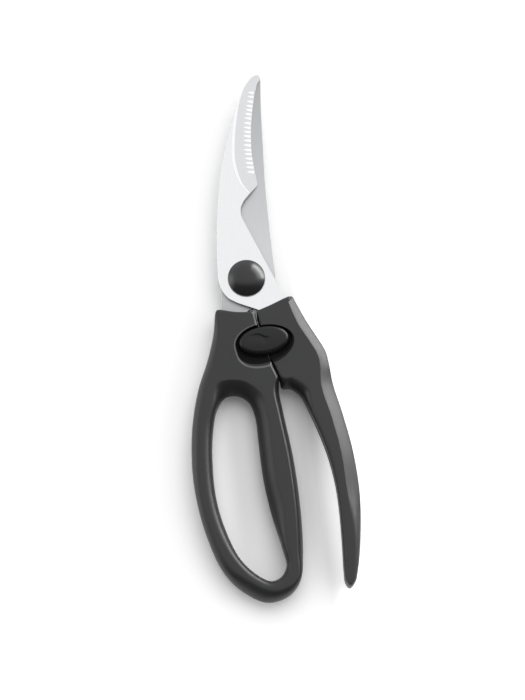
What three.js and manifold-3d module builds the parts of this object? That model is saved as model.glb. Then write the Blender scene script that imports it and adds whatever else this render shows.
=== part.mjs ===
import * as THREE from "three";
import { mergeVertices } from "three/addons/utils/BufferGeometryUtils.js";
import Module from "manifold-3d";

const wasm = await Module();
wasm.setup();

// Game shears lying flat and closed, in millimetres.
// The pivot axis is Z, the tips point along +Y and the undersides lie on z = 0.

// Blades
const BLADE_LENGTH = 100.2;
const BLADE_THICKNESS = 2.5;
const BLADE_GAP = 0.2;
const EDGE_THICKNESS = 0.45;
const SERRATION_COUNT = 19;
const SERRATION_PITCH = 2.13;
const SERRATION_START = 10.2;
const SERRATION_RADIUS = 0.85;
const SERRATION_LENGTH = 3.7;
const SERRATION_DEPTH = 0.5;
const PLAIN_BEVEL_WIDTH = 4.2;
const TANG_HOLE_DIAMETER = 4;

// Handles
const LOOP_LENGTH = 149.9;
const OPEN_LENGTH = 143.2;
const HANDLE_THICKNESS = 14;
const SEAM_GAP = 1;

// Pivot
const BOLT_DIAMETER = 6;
const BOLT_HEAD_DIAMETER = 11;
const BOLT_HEAD_HEIGHT = 2.2;
const BOLT_END = 0.4;
const NUT_WIDTH = 9;
const NUT_HEIGHT = 2;
const SPRING_WASHER_DIAMETER = 12;
const SPRING_WASHER_THICKNESS = 0.5;
const SPRING_WASHER_DISH = 0.3;
const BLADE_WASHER_DIAMETER = 14;
const BLADE_WASHER_SEAT = 0.4;
const CAP_DIAMETER = 17.3;
const CAP_WALL = 1;
const CAP_RIM_HEIGHT = 0.6;

// Lock: a thumb lever that swings about a screw in the open handle
const LOCK_PIVOT = [16.4, -29.1];
const LOCK_TILT = 10;
const LOCK_SWING = 14;
const BUTTON_CENTRE = 8.4;
const BUTTON_LENGTH = 24;
const BUTTON_WIDTH = 13.8;
const BUTTON_PROUD = 3.2;
const BUTTON_DRAFT = 0.6;
const BUTTON_EDGE = 1.7;
const BUTTON_CROWN = 0.5;
const RECESS_CLEARANCE = 1;
const RECESS_FLOOR_WALL = 0.4;
const RECESS_LIP = 0.8;
const RECESS_FLARE = 0.9;
const RECESS_LEAN = [-0.1, -0.9];
const PLATE_THICKNESS = 1.5;
const HOOK_ROOM = 0.5;
const HOOK_FINGER = 1.1;
const HOOK_REACH = 1.5;
const KEEPER_OFFSET = 13.5;
const KEEPER_THICKNESS = 1;
const KEEPER_LENGTH = 2.4;
const KEEPER_DEPTH = 4;
const SCREW_DIAMETER = 3;
const SCREW_HEAD_DIAMETER = 5.6;
const SCREW_HEAD_HEIGHT = 1.8;
const SCREW_GRIP = 2.6;
const LOCK_WASHER_DIAMETER = 6.4;
const LOCK_WASHER_THICKNESS = 0.5;

// Opening spring, square to a line from the pivot
const SPRING_ANGLE = 15.5;
const SPRING_DISTANCE = 41.4;
const SPRING_DIAMETER = 6;
const SPRING_WIRE = 0.8;
const SPRING_CURLS = 7;
const SPRING_LENGTH = 15;
const SPRING_DROP = 1.4;

// Clearances: moulded or sliding fits, faces that seat on each other, and the bolt's running fit
const FIT = 0.3;
const SEAT = 0.1;
const RUNNING = 0.2;

// Facets
const ROUND = 32;
const SMALL_ROUND = 20;
const RIM_STEPS = 3;
const OUTLINE_STEP = 3.4;

// Levels above the table
const MIDDLE = HANDLE_THICKNESS / 2;
const PLAIN_TOP = MIDDLE - BLADE_GAP / 2;
const PLAIN_BOTTOM = PLAIN_TOP - BLADE_THICKNESS;
const SERRATED_BOTTOM = MIDDLE + BLADE_GAP / 2;
const SERRATED_TOP = SERRATED_BOTTOM + BLADE_THICKNESS;
const RECESS_FLOOR = SERRATED_TOP + FIT + RECESS_FLOOR_WALL;
const PLATE_BOTTOM = RECESS_FLOOR + SEAT;
const PLATE_TOP = PLATE_BOTTOM + PLATE_THICKNESS;

// Rims: how far the rounded edge of a handle reaches in, how far it drops, and how full it is
const CRISP = { reach: 0.8, drop: 0.8, fullness: 2 };
const SEAM = { reach: 1.3, drop: 1.3, fullness: 2 };
const LEDGE = { reach: 1.2, drop: 0.9, fullness: 1.1 };
const SLIM = { reach: 1.8, drop: 2.6, fullness: 2 };
const SOFT = { reach: 3.2, drop: 4.6, fullness: 2 };
const ARM = { reach: 4.4, drop: 5.2, fullness: 2 };
const BASE = { reach: 5.7, drop: 6.4, fullness: 1.6 };
const CORNER = { reach: 1.2, drop: 1.2, fullness: 2 };
const BROW = { reach: 2.2, drop: 2.2, fullness: 1.4 };
const SHOULDER = { reach: 4.4, drop: 3.2, fullness: 1.1 };
const PALM = { reach: 5.8, drop: 4.7, fullness: 1.1 };
const TIP = { reach: 1.3, drop: 3.6, fullness: 2 };
const CROTCH = { reach: 4.7, drop: 6.4, fullness: 1.7 };
const LOOP_TOP = { reach: 6.8, drop: 6.8, fullness: 1.3 };
const LOOP_BAR = { reach: 6.2, drop: 6.6, fullness: 1.3 };
const LOOP_ARM = { reach: 4.2, drop: 5.4, fullness: 2 };
const DRAFT = { reach: 2.8, drop: 6.4, fullness: 1.6 };

// Outlines run anticlockwise, so the material is on their left. Each is a list of runs,
// and each run is a smooth curve through its points, or a line when it has two.
// They are drawn at these lengths, and what lies past a start is stretched to the lengths above.
const DRAWN_BLADE = { start: 20, end: 100.2 };
const DRAWN_LOOP = { start: -60, end: -149.9 };
const DRAWN_OPEN = { start: -60, end: -143.2 };

function stretched(runs, { start, end }, length) {
  return runs.map((run) =>
    run.map(([x, y, rim]) => {
      const past = Math.max(0, (y - start) / (end - start));
      return [x, y + past * (length - end), rim];
    }),
  );
}

const SERRATED_OUTLINE = stretched(
  [
    [[5.6, -15], [17.9, -9.3]],
    [[17.9, -9.3], [-1.1, 27.2]],
    [[-1.1, 27.2], [-2.5, 30.4], [-2.7, 34], [-1.4, 37.4]],
    [[-1.4, 37.4], [5.2, 45.7]],
    [[5.2, 45.7], [3.7, 53.6], [2.3, 63], [2.3, 76], [3.4, 88], [4.7, 95.6]],
    [[4.7, 95.6], [6.2, 98.4], [5.7, 100.1], [4, 100], [1.6, 98.3]],
    [[1.6, 98.3], [-2.1, 92.2], [-5, 84.6], [-9, 68.4], [-12.3, 50.6], [-13.7, 32], [-13.8, 14], [-13.4, 4]],
    [[-13.4, 4], [-13, -0.6], [-11.3, -5.8], [-8.4, -9.4], [-4, -11.8]],
    [[-4, -11.8], [5.6, -15]],
  ],
  DRAWN_BLADE,
  BLADE_LENGTH,
);
const SERRATED_TANG = [
  [[17.9, -9.3], [4.5, -2], [0, -8], [6.9, -16.2]],
  [[6.9, -16.2], [13, -19.6], [21.6, -29.5], [26, -41], [29, -55]],
  [[29, -55], [31, -57.4], [34, -57], [35, -54]],
  [[35, -54], [33, -42], [29.2, -30.5], [23.4, -20], [17.9, -9.3]],
];
const SERRATED_TANG_HOLES = [
  [26.4, -33.4],
  [30.6, -47],
];
const [GRIND_LINE, SERRATED_EDGE] = stretched(
  [
    [
      [3.2, 39.2], [1.2, 41.7], [-2, 45.8], [-4.3, 51.4], [-5.7, 58.3],
      [-5.8, 67.7], [-5.1, 76.6], [-3.7, 86.1], [-1.2, 94], [2, 101.5],
    ],
    [
      [8.6, 42.6], [7.2, 44.4], [5.3, 46.2], [4.1, 51.4], [2.95, 58.5],
      [2.2, 67.7], [2.25, 76.2], [3.15, 86], [4.4, 94], [7.6, 101],
    ],
  ],
  DRAWN_BLADE,
  BLADE_LENGTH,
);

const [PLAIN_EDGE] = stretched(
  [
    [
      [5.2, 98.9], [2.6, 94.4], [0.4, 88], [-2.4, 74], [-4.4, 56],
      [-6.6, 36], [-8.7, 20], [-10.6, 6], [-11.6, -2],
    ],
  ],
  DRAWN_BLADE,
  BLADE_LENGTH,
);
const PLAIN_OUTLINE = [
  ...stretched(
    [
      [[-11.6, -14], [0.6, -14.8]],
      [[0.6, -14.8], [8.6, -10.8], [12.6, -4.8], [13.4, 1.6]],
      [[13.4, 1.6], [11, 21.6], [9, 42], [7.5, 66], [6.6, 86], [6.5, 97.4]],
      [[6.5, 97.4], [6.3, 98.9], [5.2, 98.9]],
    ],
    DRAWN_BLADE,
    BLADE_LENGTH,
  ),
  PLAIN_EDGE,
  [[-11.6, -2], [-11.6, -14]],
];
const PLAIN_TANG = [
  [[1.8, -16.6], [0, -8], [-6, -6], [-11.6, -9]],
  [[-11.6, -9], [-11.6, -18], [-12, -28], [-14, -40], [-18.8, -54]],
  [[-18.8, -54], [-18, -56.6], [-15.6, -56.6], [-14, -54]],
  [[-14, -54], [-9, -43], [-5.4, -32], [-2.6, -22], [1.8, -16.6]],
];
const PLAIN_TANG_HOLES = [
  [-8.6, -29],
  [-11.9, -42],
];

// Handle outlines carry a rim with each point. Both follow the middle line of the seam,
// where the third number is the share of the gap that is left between them.
const SEAM_LINE = [[4.1, -16.3, 1], [6.2, -24.2, 1], [9, -33, 1], [12.4, -41.6, 0.8], [15.2, -47.6, 0.5]];
const LOOP_SEAM = SEAM_LINE.map(([x, y, share]) => [x - (share * SEAM_GAP) / 2, y, LEDGE]).reverse();
const OPEN_SEAM = SEAM_LINE.map(([x, y, share]) => [x + (share * SEAM_GAP) / 2, y, SEAM]);
const LOOP_OUTLINE = stretched(
  [
    [LOOP_SEAM.at(-1), [-0.6, -16.9, CRISP], [-5.4, -16.8, CRISP], [-12, -15.7, CORNER]],
    [[-12, -15.7, CORNER], [-13.7, -16, CORNER], [-14.5, -17.7, CORNER]],
    [
      [-14.5, -17.7, CORNER], [-15.3, -27, SOFT], [-18.2, -40, ARM], [-21.9, -52, ARM],
      [-24.3, -66, ARM], [-25, -80, ARM], [-23.6, -98, SOFT], [-18.8, -117.4, SOFT],
      [-10.4, -136, ARM], [-2, -144.6, BASE], [9.4, -149.9, BASE], [19, -147.2, ARM],
      [24.6, -140, SLIM], [25.8, -128, DRAFT], [24.8, -108, DRAFT], [21.7, -85, DRAFT],
      [16.9, -62.6, DRAFT], [15.1, -53.5, DRAFT], LOOP_SEAM[0],
    ],
    LOOP_SEAM,
  ],
  DRAWN_LOOP,
  -LOOP_LENGTH,
);
const LOOP_HOLE = stretched(
  [
    [
      [-15.5, -82, LOOP_ARM], [-15, -70, LOOP_ARM], [-13.4, -61.4, SOFT], [-9.6, -56.2, LOOP_TOP],
      [-3.6, -55.6, LOOP_TOP], [1.4, -58.8, LOOP_TOP], [4, -65, LOOP_BAR], [5.7, -78, LOOP_BAR],
      [7.8, -94, LOOP_BAR], [11.6, -110.4, LOOP_BAR], [16.6, -126, SOFT], [18.3, -133.4, SOFT],
      [16.2, -138.2, SOFT], [11.8, -140.4, SOFT], [6, -138.2, SOFT], [-2.4, -130.6, SOFT],
      [-9.2, -117.4, LOOP_ARM], [-13.8, -101.6, LOOP_ARM], [-15.5, -82, LOOP_ARM],
    ],
  ],
  DRAWN_LOOP,
  -LOOP_LENGTH,
);
const OPEN_OUTLINE = stretched(
  [
    OPEN_SEAM,
    [
      OPEN_SEAM.at(-1), [16.4, -51.8, CROTCH], [20, -51.9, CROTCH], [22.8, -53.5, CROTCH],
      [25.2, -55.8, CROTCH], [27.4, -59.6, SOFT],
      [32.4, -70, SLIM], [36.9, -81.6, SLIM], [40.4, -94.4, SLIM],
      [42.3, -107, SLIM], [43.5, -122, SLIM], [44.3, -136.4, SLIM], [44.9, -140.8, TIP],
      [46.9, -143.2, TIP], [49.2, -141, TIP], [50.4, -135.6, SLIM], [51.8, -121, SOFT],
      [51.7, -101, PALM], [48.9, -81.6, PALM], [44.4, -64.4, PALM], [39.9, -50, PALM],
      [38.1, -41, SHOULDER], [36.6, -35, SHOULDER], [32.6, -28.2, SHOULDER], [27, -19.4, SHOULDER],
      [22, -10.6, BROW],
    ],
    [[22, -10.6, BROW], [21.2, -9.2, CORNER], [19.6, -9.3, CORNER]],
    [[19.6, -9.3, CORNER], [16.3, -10.9, CRISP], [11, -13.6, CRISP], OPEN_SEAM[0]],
  ],
  DRAWN_OPEN,
  -OPEN_LENGTH,
);

// A closed mesh as a solid that can be joined and cut. Faces that have no area are left out.
function solid(geometry) {
  const bare = new THREE.BufferGeometry();
  bare.setAttribute("position", geometry.getAttribute("position").clone());
  bare.setIndex(geometry.index ? geometry.index.clone() : null);
  const merged = mergeVertices(bare, 1e-4);
  const index = merged.index.array;
  const kept = [];
  for (let i = 0; i < index.length; i += 3) {
    const [a, b, c] = index.slice(i, i + 3);
    if (a !== b && b !== c && c !== a) kept.push(a, b, c);
  }
  const mesh = new wasm.Mesh({
    numProp: 3,
    vertProperties: merged.getAttribute("position").array,
    triVerts: new Uint32Array(kept),
  });
  return new wasm.Manifold(mesh);
}

function cut(body, ...tools) {
  return tools.reduce((rest, tool) => rest.subtract(tool), body);
}

function join(body, ...others) {
  return others.reduce((whole, other) => whole.add(other), body);
}

// The points of an outline, with the rim at each one.
function trace(runs, step = OUTLINE_STEP) {
  const traced = [];
  for (const run of runs) {
    const curve = new THREE.CatmullRomCurve3(run.map(([x, y]) => new THREE.Vector3(x, y, 0)));
    const spans = run.length - 1;
    for (let span = 0; span < spans; span++) {
      const from = curve.points[span];
      const to = curve.points[span + 1];
      const pieces = spans === 1 ? 1 : Math.max(2, Math.round(from.distanceTo(to) / step));
      for (let piece = 0; piece < pieces; piece++) {
        const share = piece / pieces;
        const point = curve.getPoint((span + share) / spans);
        traced.push({ point: new THREE.Vector2(point.x, point.y), rim: blend(run, span, share) });
      }
    }
  }
  return traced;
}

function blend(run, span, share) {
  const before = run[span][2];
  const after = run[span + 1][2];
  if (!before) return null;
  const mix = (key) => THREE.MathUtils.lerp(before[key], after[key], share);
  return { reach: mix("reach"), drop: mix("drop"), fullness: mix("fullness") };
}

// The way into the material at each point, long enough that both its sides move by one.
function inward(points) {
  return points.map((point, i) => {
    const before = points[(i + points.length - 1) % points.length];
    const after = points[(i + 1) % points.length];
    const sides = [point.clone().sub(before), after.clone().sub(point)];
    const [first, second] = sides.map((side) => new THREE.Vector2(-side.y, side.x).normalize());
    return first.clone().add(second).divideScalar(1 + first.dot(second));
  });
}

function grown(points, distance) {
  const ways = inward(points);
  return points.map((point, i) => point.clone().addScaledVector(ways[i], -distance));
}

function prism(points, bottom, top) {
  const options = { depth: top - bottom, bevelEnabled: false };
  const geometry = new THREE.ExtrudeGeometry(new THREE.Shape(points), options);
  return solid(geometry.translate(0, 0, bottom));
}

// A round piece from its outline, given as distance from the axis and height.
function turned(profile, facets = SMALL_ROUND) {
  const points = profile.map(([radius, height]) => new THREE.Vector2(radius, height));
  return solid(new THREE.LatheGeometry(points, facets).rotateX(Math.PI / 2));
}

function disc(diameter, bottom, top, facets = SMALL_ROUND) {
  const radius = diameter / 2;
  return turned([[0, bottom], [radius, bottom], [radius, top], [0, top]], facets);
}

function ring(outer, inner, bottom, top, facets = SMALL_ROUND) {
  return cut(disc(outer, bottom, top, facets), disc(inner, bottom - 1, top + 1, facets));
}

// A flat slab whose edges are rounded, by the rim at each point of its outlines.
function roundedSlab(outlines, bottom, top) {
  const traced = outlines.map((outline) => trace(outline));
  const levels = [];
  for (let step = RIM_STEPS; step >= 0; step--) levels.push({ step, side: -1 });
  for (let step = 0; step <= RIM_STEPS; step++) levels.push({ step, side: 1 });
  const positions = [];
  const loops = traced.map((loop) => {
    const ways = inward(loop.map(({ point }) => point));
    return levels.map(({ step, side }) => {
      const start = positions.length / 3;
      loop.forEach(({ point, rim }, i) => {
        const angle = (step / RIM_STEPS) * (Math.PI / 2);
        const power = 2 / rim.fullness;
        const reach = rim.reach * (1 - Math.cos(angle) ** power);
        const drop = rim.drop * (1 - Math.sin(angle) ** power);
        const place = point.clone().addScaledVector(ways[i], step ? reach : 0);
        positions.push(place.x, place.y, side > 0 ? top - drop : bottom + drop);
      });
      return { start, count: loop.length };
    });
  });
  const faces = [];
  for (const rings of loops) {
    for (let level = 0; level + 1 < rings.length; level++) {
      const { start, count } = rings[level];
      const above = rings[level + 1].start;
      for (let i = 0; i < count; i++) {
        const next = (i + 1) % count;
        faces.push(start + i, start + next, above + next);
        faces.push(start + i, above + next, above + i);
      }
    }
  }
  const last = levels.length - 1;
  for (const level of [0, last]) {
    const spots = loops.flatMap((rings) => {
      const { start, count } = rings[level];
      return Array.from({ length: count }, (_, i) => start + i);
    });
    const flat = loops.map((rings) => {
      const { start, count } = rings[level];
      return Array.from({ length: count }, (_, i) => {
        const at = 3 * (start + i);
        return new THREE.Vector2(positions[at], positions[at + 1]);
      });
    });
    for (const [a, b, c] of THREE.ShapeUtils.triangulateShape(flat[0], flat.slice(1))) {
      faces.push(spots[a], ...(level ? [spots[b], spots[c]] : [spots[c], spots[b]]));
    }
  }
  const geometry = new THREE.BufferGeometry();
  geometry.setAttribute("position", new THREE.Float32BufferAttribute(positions, 3));
  geometry.setIndex(faces);
  return solid(geometry);
}

// A solid stretched through like sections, each a list of points in order.
function loft(sections) {
  const count = sections[0].length;
  const positions = sections.flat().flatMap((point) => point.toArray());
  const faces = [];
  for (let s = 0; s + 1 < sections.length; s++) {
    for (let i = 0; i < count; i++) {
      const next = (i + 1) % count;
      const [a, b] = [s * count + i, s * count + next];
      faces.push(a, b, b + count);
      faces.push(a, b + count, a + count);
    }
  }
  const end = (sections.length - 1) * count;
  for (let i = 1; i + 1 < count; i++) {
    faces.push(0, i + 1, i);
    faces.push(end, end + i, end + i + 1);
  }
  const geometry = new THREE.BufferGeometry();
  geometry.setAttribute("position", new THREE.Float32BufferAttribute(positions, 3));
  geometry.setIndex(faces);
  const made = solid(geometry);
  return made.volume() > 0 ? made : solid(geometry.setIndex(faces.reverse()));
}

function curveThrough(points) {
  return new THREE.CatmullRomCurve3(points.map(([x, y]) => new THREE.Vector3(x, y, 0)));
}

// How deep a hollow grind has gone at a share of its width.
function hollow(part) {
  return 1 - (1 - part) ** 1.25;
}

// The waste ground off one face of a blade, from the grind line out past the cutting edge.
// It is hollow, so it falls off fastest at the grind line.
function grindWaste(line, edge, face, keep, stations) {
  const depth = keep - face;
  const outside = face - Math.sign(depth) * 2;
  const along = { line: curveThrough(line), edge: curveThrough(edge) };
  const sections = [];
  for (let station = 0; station <= stations; station++) {
    const share = station / stations;
    const start = along.line.getPoint(share);
    const end = along.edge.getPoint(share);
    const at = (part, height) => start.clone().lerp(end, part).setZ(height);
    const ground = [0.25, 0.6, 1].map((part) => at(part, face + depth * hollow(part)));
    sections.push([at(1.5, outside), at(0, outside), at(0, face), ...ground, at(1.5, keep)]);
  }
  return loft(sections);
}

// Blades

function outlinePoints(runs) {
  return trace(runs).map(({ point }) => point);
}

function tangHoles(places, diameter, bottom, top) {
  return places.map(([x, y]) => disc(diameter, bottom, top).translate([x, y, 0]));
}

// The grooves run from the cutting edge towards the grind line and fade out on the way.
function serrations() {
  const edge = curveThrough(SERRATED_EDGE);
  const line = curveThrough(GRIND_LINE);
  const depth = BLADE_THICKNESS - EDGE_THICKNESS;
  return Array.from({ length: SERRATION_COUNT }, (_, i) => {
    const share = edge.getUtoTmapping(0, SERRATION_START + i * SERRATION_PITCH);
    const at = edge.getPoint(share);
    const way = line.getPoint(share).sub(at);
    const fade = depth * (1 - hollow(1 - SERRATION_LENGTH / way.length()));
    const length = 3 * SERRATION_LENGTH;
    const groove = new THREE.CylinderGeometry(SERRATION_RADIUS, SERRATION_RADIUS, length, 10);
    groove.rotateZ(Math.PI / 2);
    groove.rotateY(-Math.atan2(SERRATION_DEPTH + fade, SERRATION_LENGTH));
    groove.rotateZ(Math.atan2(way.y, way.x));
    const height = SERRATED_BOTTOM + EDGE_THICKNESS - SERRATION_DEPTH + SERRATION_RADIUS;
    return solid(groove.translate(at.x, at.y, height));
  });
}

const serratedTang = outlinePoints(SERRATED_TANG);
const plainTang = outlinePoints(PLAIN_TANG);

function serratedBlade() {
  const keep = SERRATED_BOTTOM + EDGE_THICKNESS;
  return cut(
    join(
      prism(outlinePoints(SERRATED_OUTLINE), SERRATED_BOTTOM, SERRATED_TOP),
      prism(serratedTang, SERRATED_BOTTOM, SERRATED_TOP),
    ),
    disc(BOLT_DIAMETER + RUNNING, SERRATED_BOTTOM - 1, SERRATED_TOP + 1, ROUND),
    ...tangHoles(SERRATED_TANG_HOLES, TANG_HOLE_DIAMETER, SERRATED_BOTTOM - 1, SERRATED_TOP + 1),
    grindWaste(GRIND_LINE, SERRATED_EDGE, SERRATED_TOP, keep, 18),
    ...serrations(),
  );
}

function plainBlade() {
  const keep = PLAIN_TOP - EDGE_THICKNESS;
  const bevelLine = PLAIN_EDGE.map(([x, y]) => [x + PLAIN_BEVEL_WIDTH, y + 0.6]);
  const neck = BOLT_DIAMETER + FIT;
  const square = new THREE.BoxGeometry(neck, neck, BLADE_THICKNESS + 2);
  return cut(
    join(
      prism(outlinePoints(PLAIN_OUTLINE), PLAIN_BOTTOM, PLAIN_TOP),
      prism(plainTang, PLAIN_BOTTOM, PLAIN_TOP),
    ),
    solid(square.translate(0, 0, (PLAIN_BOTTOM + PLAIN_TOP) / 2)),
    disc(BLADE_WASHER_DIAMETER + FIT, PLAIN_TOP - BLADE_WASHER_SEAT, PLAIN_TOP + 1, ROUND),
    ...tangHoles(PLAIN_TANG_HOLES, TANG_HOLE_DIAMETER, PLAIN_BOTTOM - 1, PLAIN_TOP + 1),
    grindWaste(bevelLine, PLAIN_EDGE, PLAIN_BOTTOM, keep, 16),
  );
}

// Lock: its pieces are drawn with the lever's axis at the origin and the lever along -X.

function placeLock(body) {
  const [x, y] = LOCK_PIVOT;
  return body.rotate([0, 0, LOCK_TILT]).translate([x, y, 0]);
}

function ellipse(width, height, steps = ROUND) {
  return new THREE.EllipseCurve(0, 0, width / 2, height / 2).getPoints(steps).slice(0, -1);
}

// The outline of the room that the lever sweeps, wider all round by a margin: the farthest
// that its oval comes in each direction from the middle of the swing.
function sweptOutline(margin) {
  const radii = new THREE.Vector2(BUTTON_LENGTH / 2 + margin, BUTTON_WIDTH / 2 + margin);
  const steps = 8;
  const turns = Array.from({ length: steps + 1 }, (_, i) =>
    THREE.MathUtils.degToRad((LOCK_SWING * i) / steps),
  );
  const axis = new THREE.Vector2();
  const centre = new THREE.Vector2(-BUTTON_CENTRE, 0);
  const middle = centre.clone().rotateAround(axis, turns[steps / 2]);
  return ellipse(2, 2, 2 * ROUND).map((way) => {
    const reaches = turns.map((turn) => {
      const start = middle.clone().rotateAround(axis, -turn).sub(centre).divide(radii);
      const step = way.clone().rotateAround(axis, -turn).divide(radii);
      const [a, b, c] = [step.lengthSq(), start.dot(step), start.lengthSq() - 1];
      return (Math.sqrt(b * b - a * c) - b) / a;
    });
    return middle.clone().addScaledVector(way, Math.max(...reaches));
  });
}

// The walls of the recess end in a sloped lip, widest below the free end of the lever.
function recess() {
  const lip = HANDLE_THICKNESS - RECESS_LIP;
  const mouth = HANDLE_THICKNESS + 1;
  const rise = (mouth - lip) / RECESS_LIP;
  const [across, along] = RECESS_LEAN.map((distance) => distance * rise);
  const walls = [RECESS_FLOOR, lip].map((height) =>
    sweptOutline(RECESS_CLEARANCE).map(({ x, y }) => new THREE.Vector3(x, y, height)),
  );
  const top = sweptOutline(RECESS_CLEARANCE + RECESS_FLARE * rise).map(
    ({ x, y }) => new THREE.Vector3(x + across, y + along, mouth),
  );
  return placeLock(loft([...walls, top]));
}

const SCREW_SEAT = SCREW_HEAD_HEIGHT + LOCK_WASHER_THICKNESS + 4 * SEAT;

function screwHoles() {
  return [
    disc(SCREW_DIAMETER + 2 * FIT, -1, RECESS_FLOOR + 1),
    disc(LOCK_WASHER_DIAMETER + 2 * FIT, -1, SCREW_SEAT),
  ].map(placeLock);
}

// The thumb lever: an oval with drafted sides, a rounded edge and a low crown.
function lockButton() {
  const top = HANDLE_THICKNESS + BUTTON_PROUD;
  const rim = top - BUTTON_CROWN;
  const inner = BUTTON_DRAFT + BUTTON_EDGE;
  const levels = [
    [0, PLATE_TOP, 1],
    [BUTTON_DRAFT, rim - BUTTON_EDGE, 1],
    [BUTTON_DRAFT + 0.3 * BUTTON_EDGE, rim - 0.3 * BUTTON_EDGE, 1],
    ...[1, 0.7, 0.4, 0.1].map((share) => [inner, top - BUTTON_CROWN * share ** 2, share]),
  ];
  const sections = levels.map(([inset, height, share]) =>
    ellipse(share * (BUTTON_LENGTH - 2 * inset), share * (BUTTON_WIDTH - 2 * inset)).map(
      ({ x, y }) => new THREE.Vector3(x - BUTTON_CENTRE, y, height),
    ),
  );
  return placeLock(
    cut(loft(sections), disc(SCREW_DIAMETER + FIT, PLATE_TOP - 1, PLATE_TOP + SCREW_GRIP + FIT)),
  );
}

// The hook opens towards the blades, so it leaves the keeper as the lever swings back.
function lockPlate() {
  const notch = KEEPER_THICKNESS / 2 + HOOK_ROOM;
  const bottom = -KEEPER_LENGTH / 2 - FIT;
  const boss = LOCK_WASHER_DIAMETER / 2;
  const shape = new THREE.Shape();
  shape.moveTo(0, boss);
  shape.lineTo(-KEEPER_OFFSET + notch, HOOK_REACH);
  shape.lineTo(-KEEPER_OFFSET + notch, bottom);
  shape.lineTo(-KEEPER_OFFSET - notch, bottom);
  shape.lineTo(-KEEPER_OFFSET - notch, HOOK_REACH);
  shape.lineTo(-KEEPER_OFFSET - notch - HOOK_FINGER, HOOK_REACH - HOOK_FINGER);
  shape.lineTo(-KEEPER_OFFSET - notch - HOOK_FINGER, bottom - HOOK_FINGER);
  shape.lineTo(-KEEPER_OFFSET + notch, bottom - 2 * HOOK_FINGER);
  shape.lineTo(0, -boss);
  shape.absarc(0, 0, boss, -Math.PI / 2, Math.PI / 2);
  const plate = prism(shape.getPoints(8), PLATE_BOTTOM, PLATE_TOP - SEAT);
  return placeLock(cut(plate, disc(SCREW_DIAMETER + FIT, PLATE_BOTTOM - 1, PLATE_TOP + 1)));
}

// The keeper stands in a slot of the loop handle, which is made from it with some clearance.
function keeperTab(clearance) {
  const foot = RECESS_FLOOR - KEEPER_DEPTH - clearance;
  const height = PLATE_TOP - FIT - foot;
  const tab = new THREE.BoxGeometry(
    KEEPER_THICKNESS + 2 * clearance,
    KEEPER_LENGTH + 2 * clearance,
    height,
  );
  return placeLock(solid(tab.translate(-KEEPER_OFFSET, 0, foot + height / 2)));
}

function lockScrew() {
  const under = SEAT + SCREW_HEAD_HEIGHT;
  const tip = PLATE_TOP + SCREW_GRIP;
  const head = SCREW_HEAD_DIAMETER / 2;
  const shank = SCREW_DIAMETER / 2;
  const screw = turned([
    [0, SEAT], [head - 0.4, SEAT], [head, SEAT + 0.4], [head, under],
    [shank, under], [shank, tip - 0.5], [shank - 0.5, tip], [0, tip],
  ]);
  const drive = new THREE.CylinderGeometry(shank, shank, SCREW_HEAD_HEIGHT, 6).rotateX(Math.PI / 2);
  return placeLock(cut(screw, solid(drive.translate(0, 0, SEAT))));
}

function lockWasher() {
  const bottom = 2 * SEAT + SCREW_HEAD_HEIGHT;
  const top = bottom + LOCK_WASHER_THICKNESS;
  return placeLock(ring(LOCK_WASHER_DIAMETER, SCREW_DIAMETER + FIT, bottom, top));
}

// Opening spring, drawn along X at the origin.

function placeSpring(body) {
  const placed = body.translate([0, -SPRING_DISTANCE, MIDDLE - SPRING_DROP]);
  return placed.rotate([0, 0, SPRING_ANGLE]);
}

function springPocket() {
  const end = SPRING_LENGTH / 2 + FIT;
  return placeSpring(disc(SPRING_DIAMETER + 2 * FIT, -end, end).rotate([0, 90, 0]));
}

class Coil extends THREE.Curve {
  getPoint(share) {
    const length = SPRING_LENGTH - SPRING_WIRE;
    const radius = (SPRING_DIAMETER - SPRING_WIRE) / 2;
    const angle = share * SPRING_CURLS * 2 * Math.PI;
    return new THREE.Vector3(
      (share - 0.5) * length,
      radius * Math.cos(angle),
      radius * Math.sin(angle),
    );
  }
}

function openingSpring() {
  const wire = new THREE.Shape(ellipse(SPRING_WIRE, SPRING_WIRE, 5));
  const coil = new Coil();
  const spots = coil.getPoints(SPRING_CURLS * 8);
  let gap = Infinity;
  spots.forEach((spot, i) => {
    for (const other of spots.slice(i + 6)) gap = Math.min(gap, spot.distanceTo(other) - SPRING_WIRE);
  });
  console.log("least gap of the opening spring to itself: " + gap.toFixed(2) + " mm");
  const options = { steps: SPRING_CURLS * 8, extrudePath: coil, bevelEnabled: false };
  return placeSpring(solid(new THREE.ExtrudeGeometry(wire, options)));
}

// Pivot

const HEAD_TOP = PLAIN_BOTTOM - SEAT;
const SPRING_WASHER_BOTTOM = SERRATED_TOP + SEAT;
const NUT_BOTTOM = SPRING_WASHER_BOTTOM + SPRING_WASHER_THICKNESS + SPRING_WASHER_DISH + SEAT;
const NUT_TOP = NUT_BOTTOM + NUT_HEIGHT;
const BOLT_TOP = NUT_TOP + BOLT_END;
const CAP_BOTTOM = SERRATED_TOP + SEAT;
const CAP_TOP = BOLT_TOP + FIT + CAP_WALL;

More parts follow.
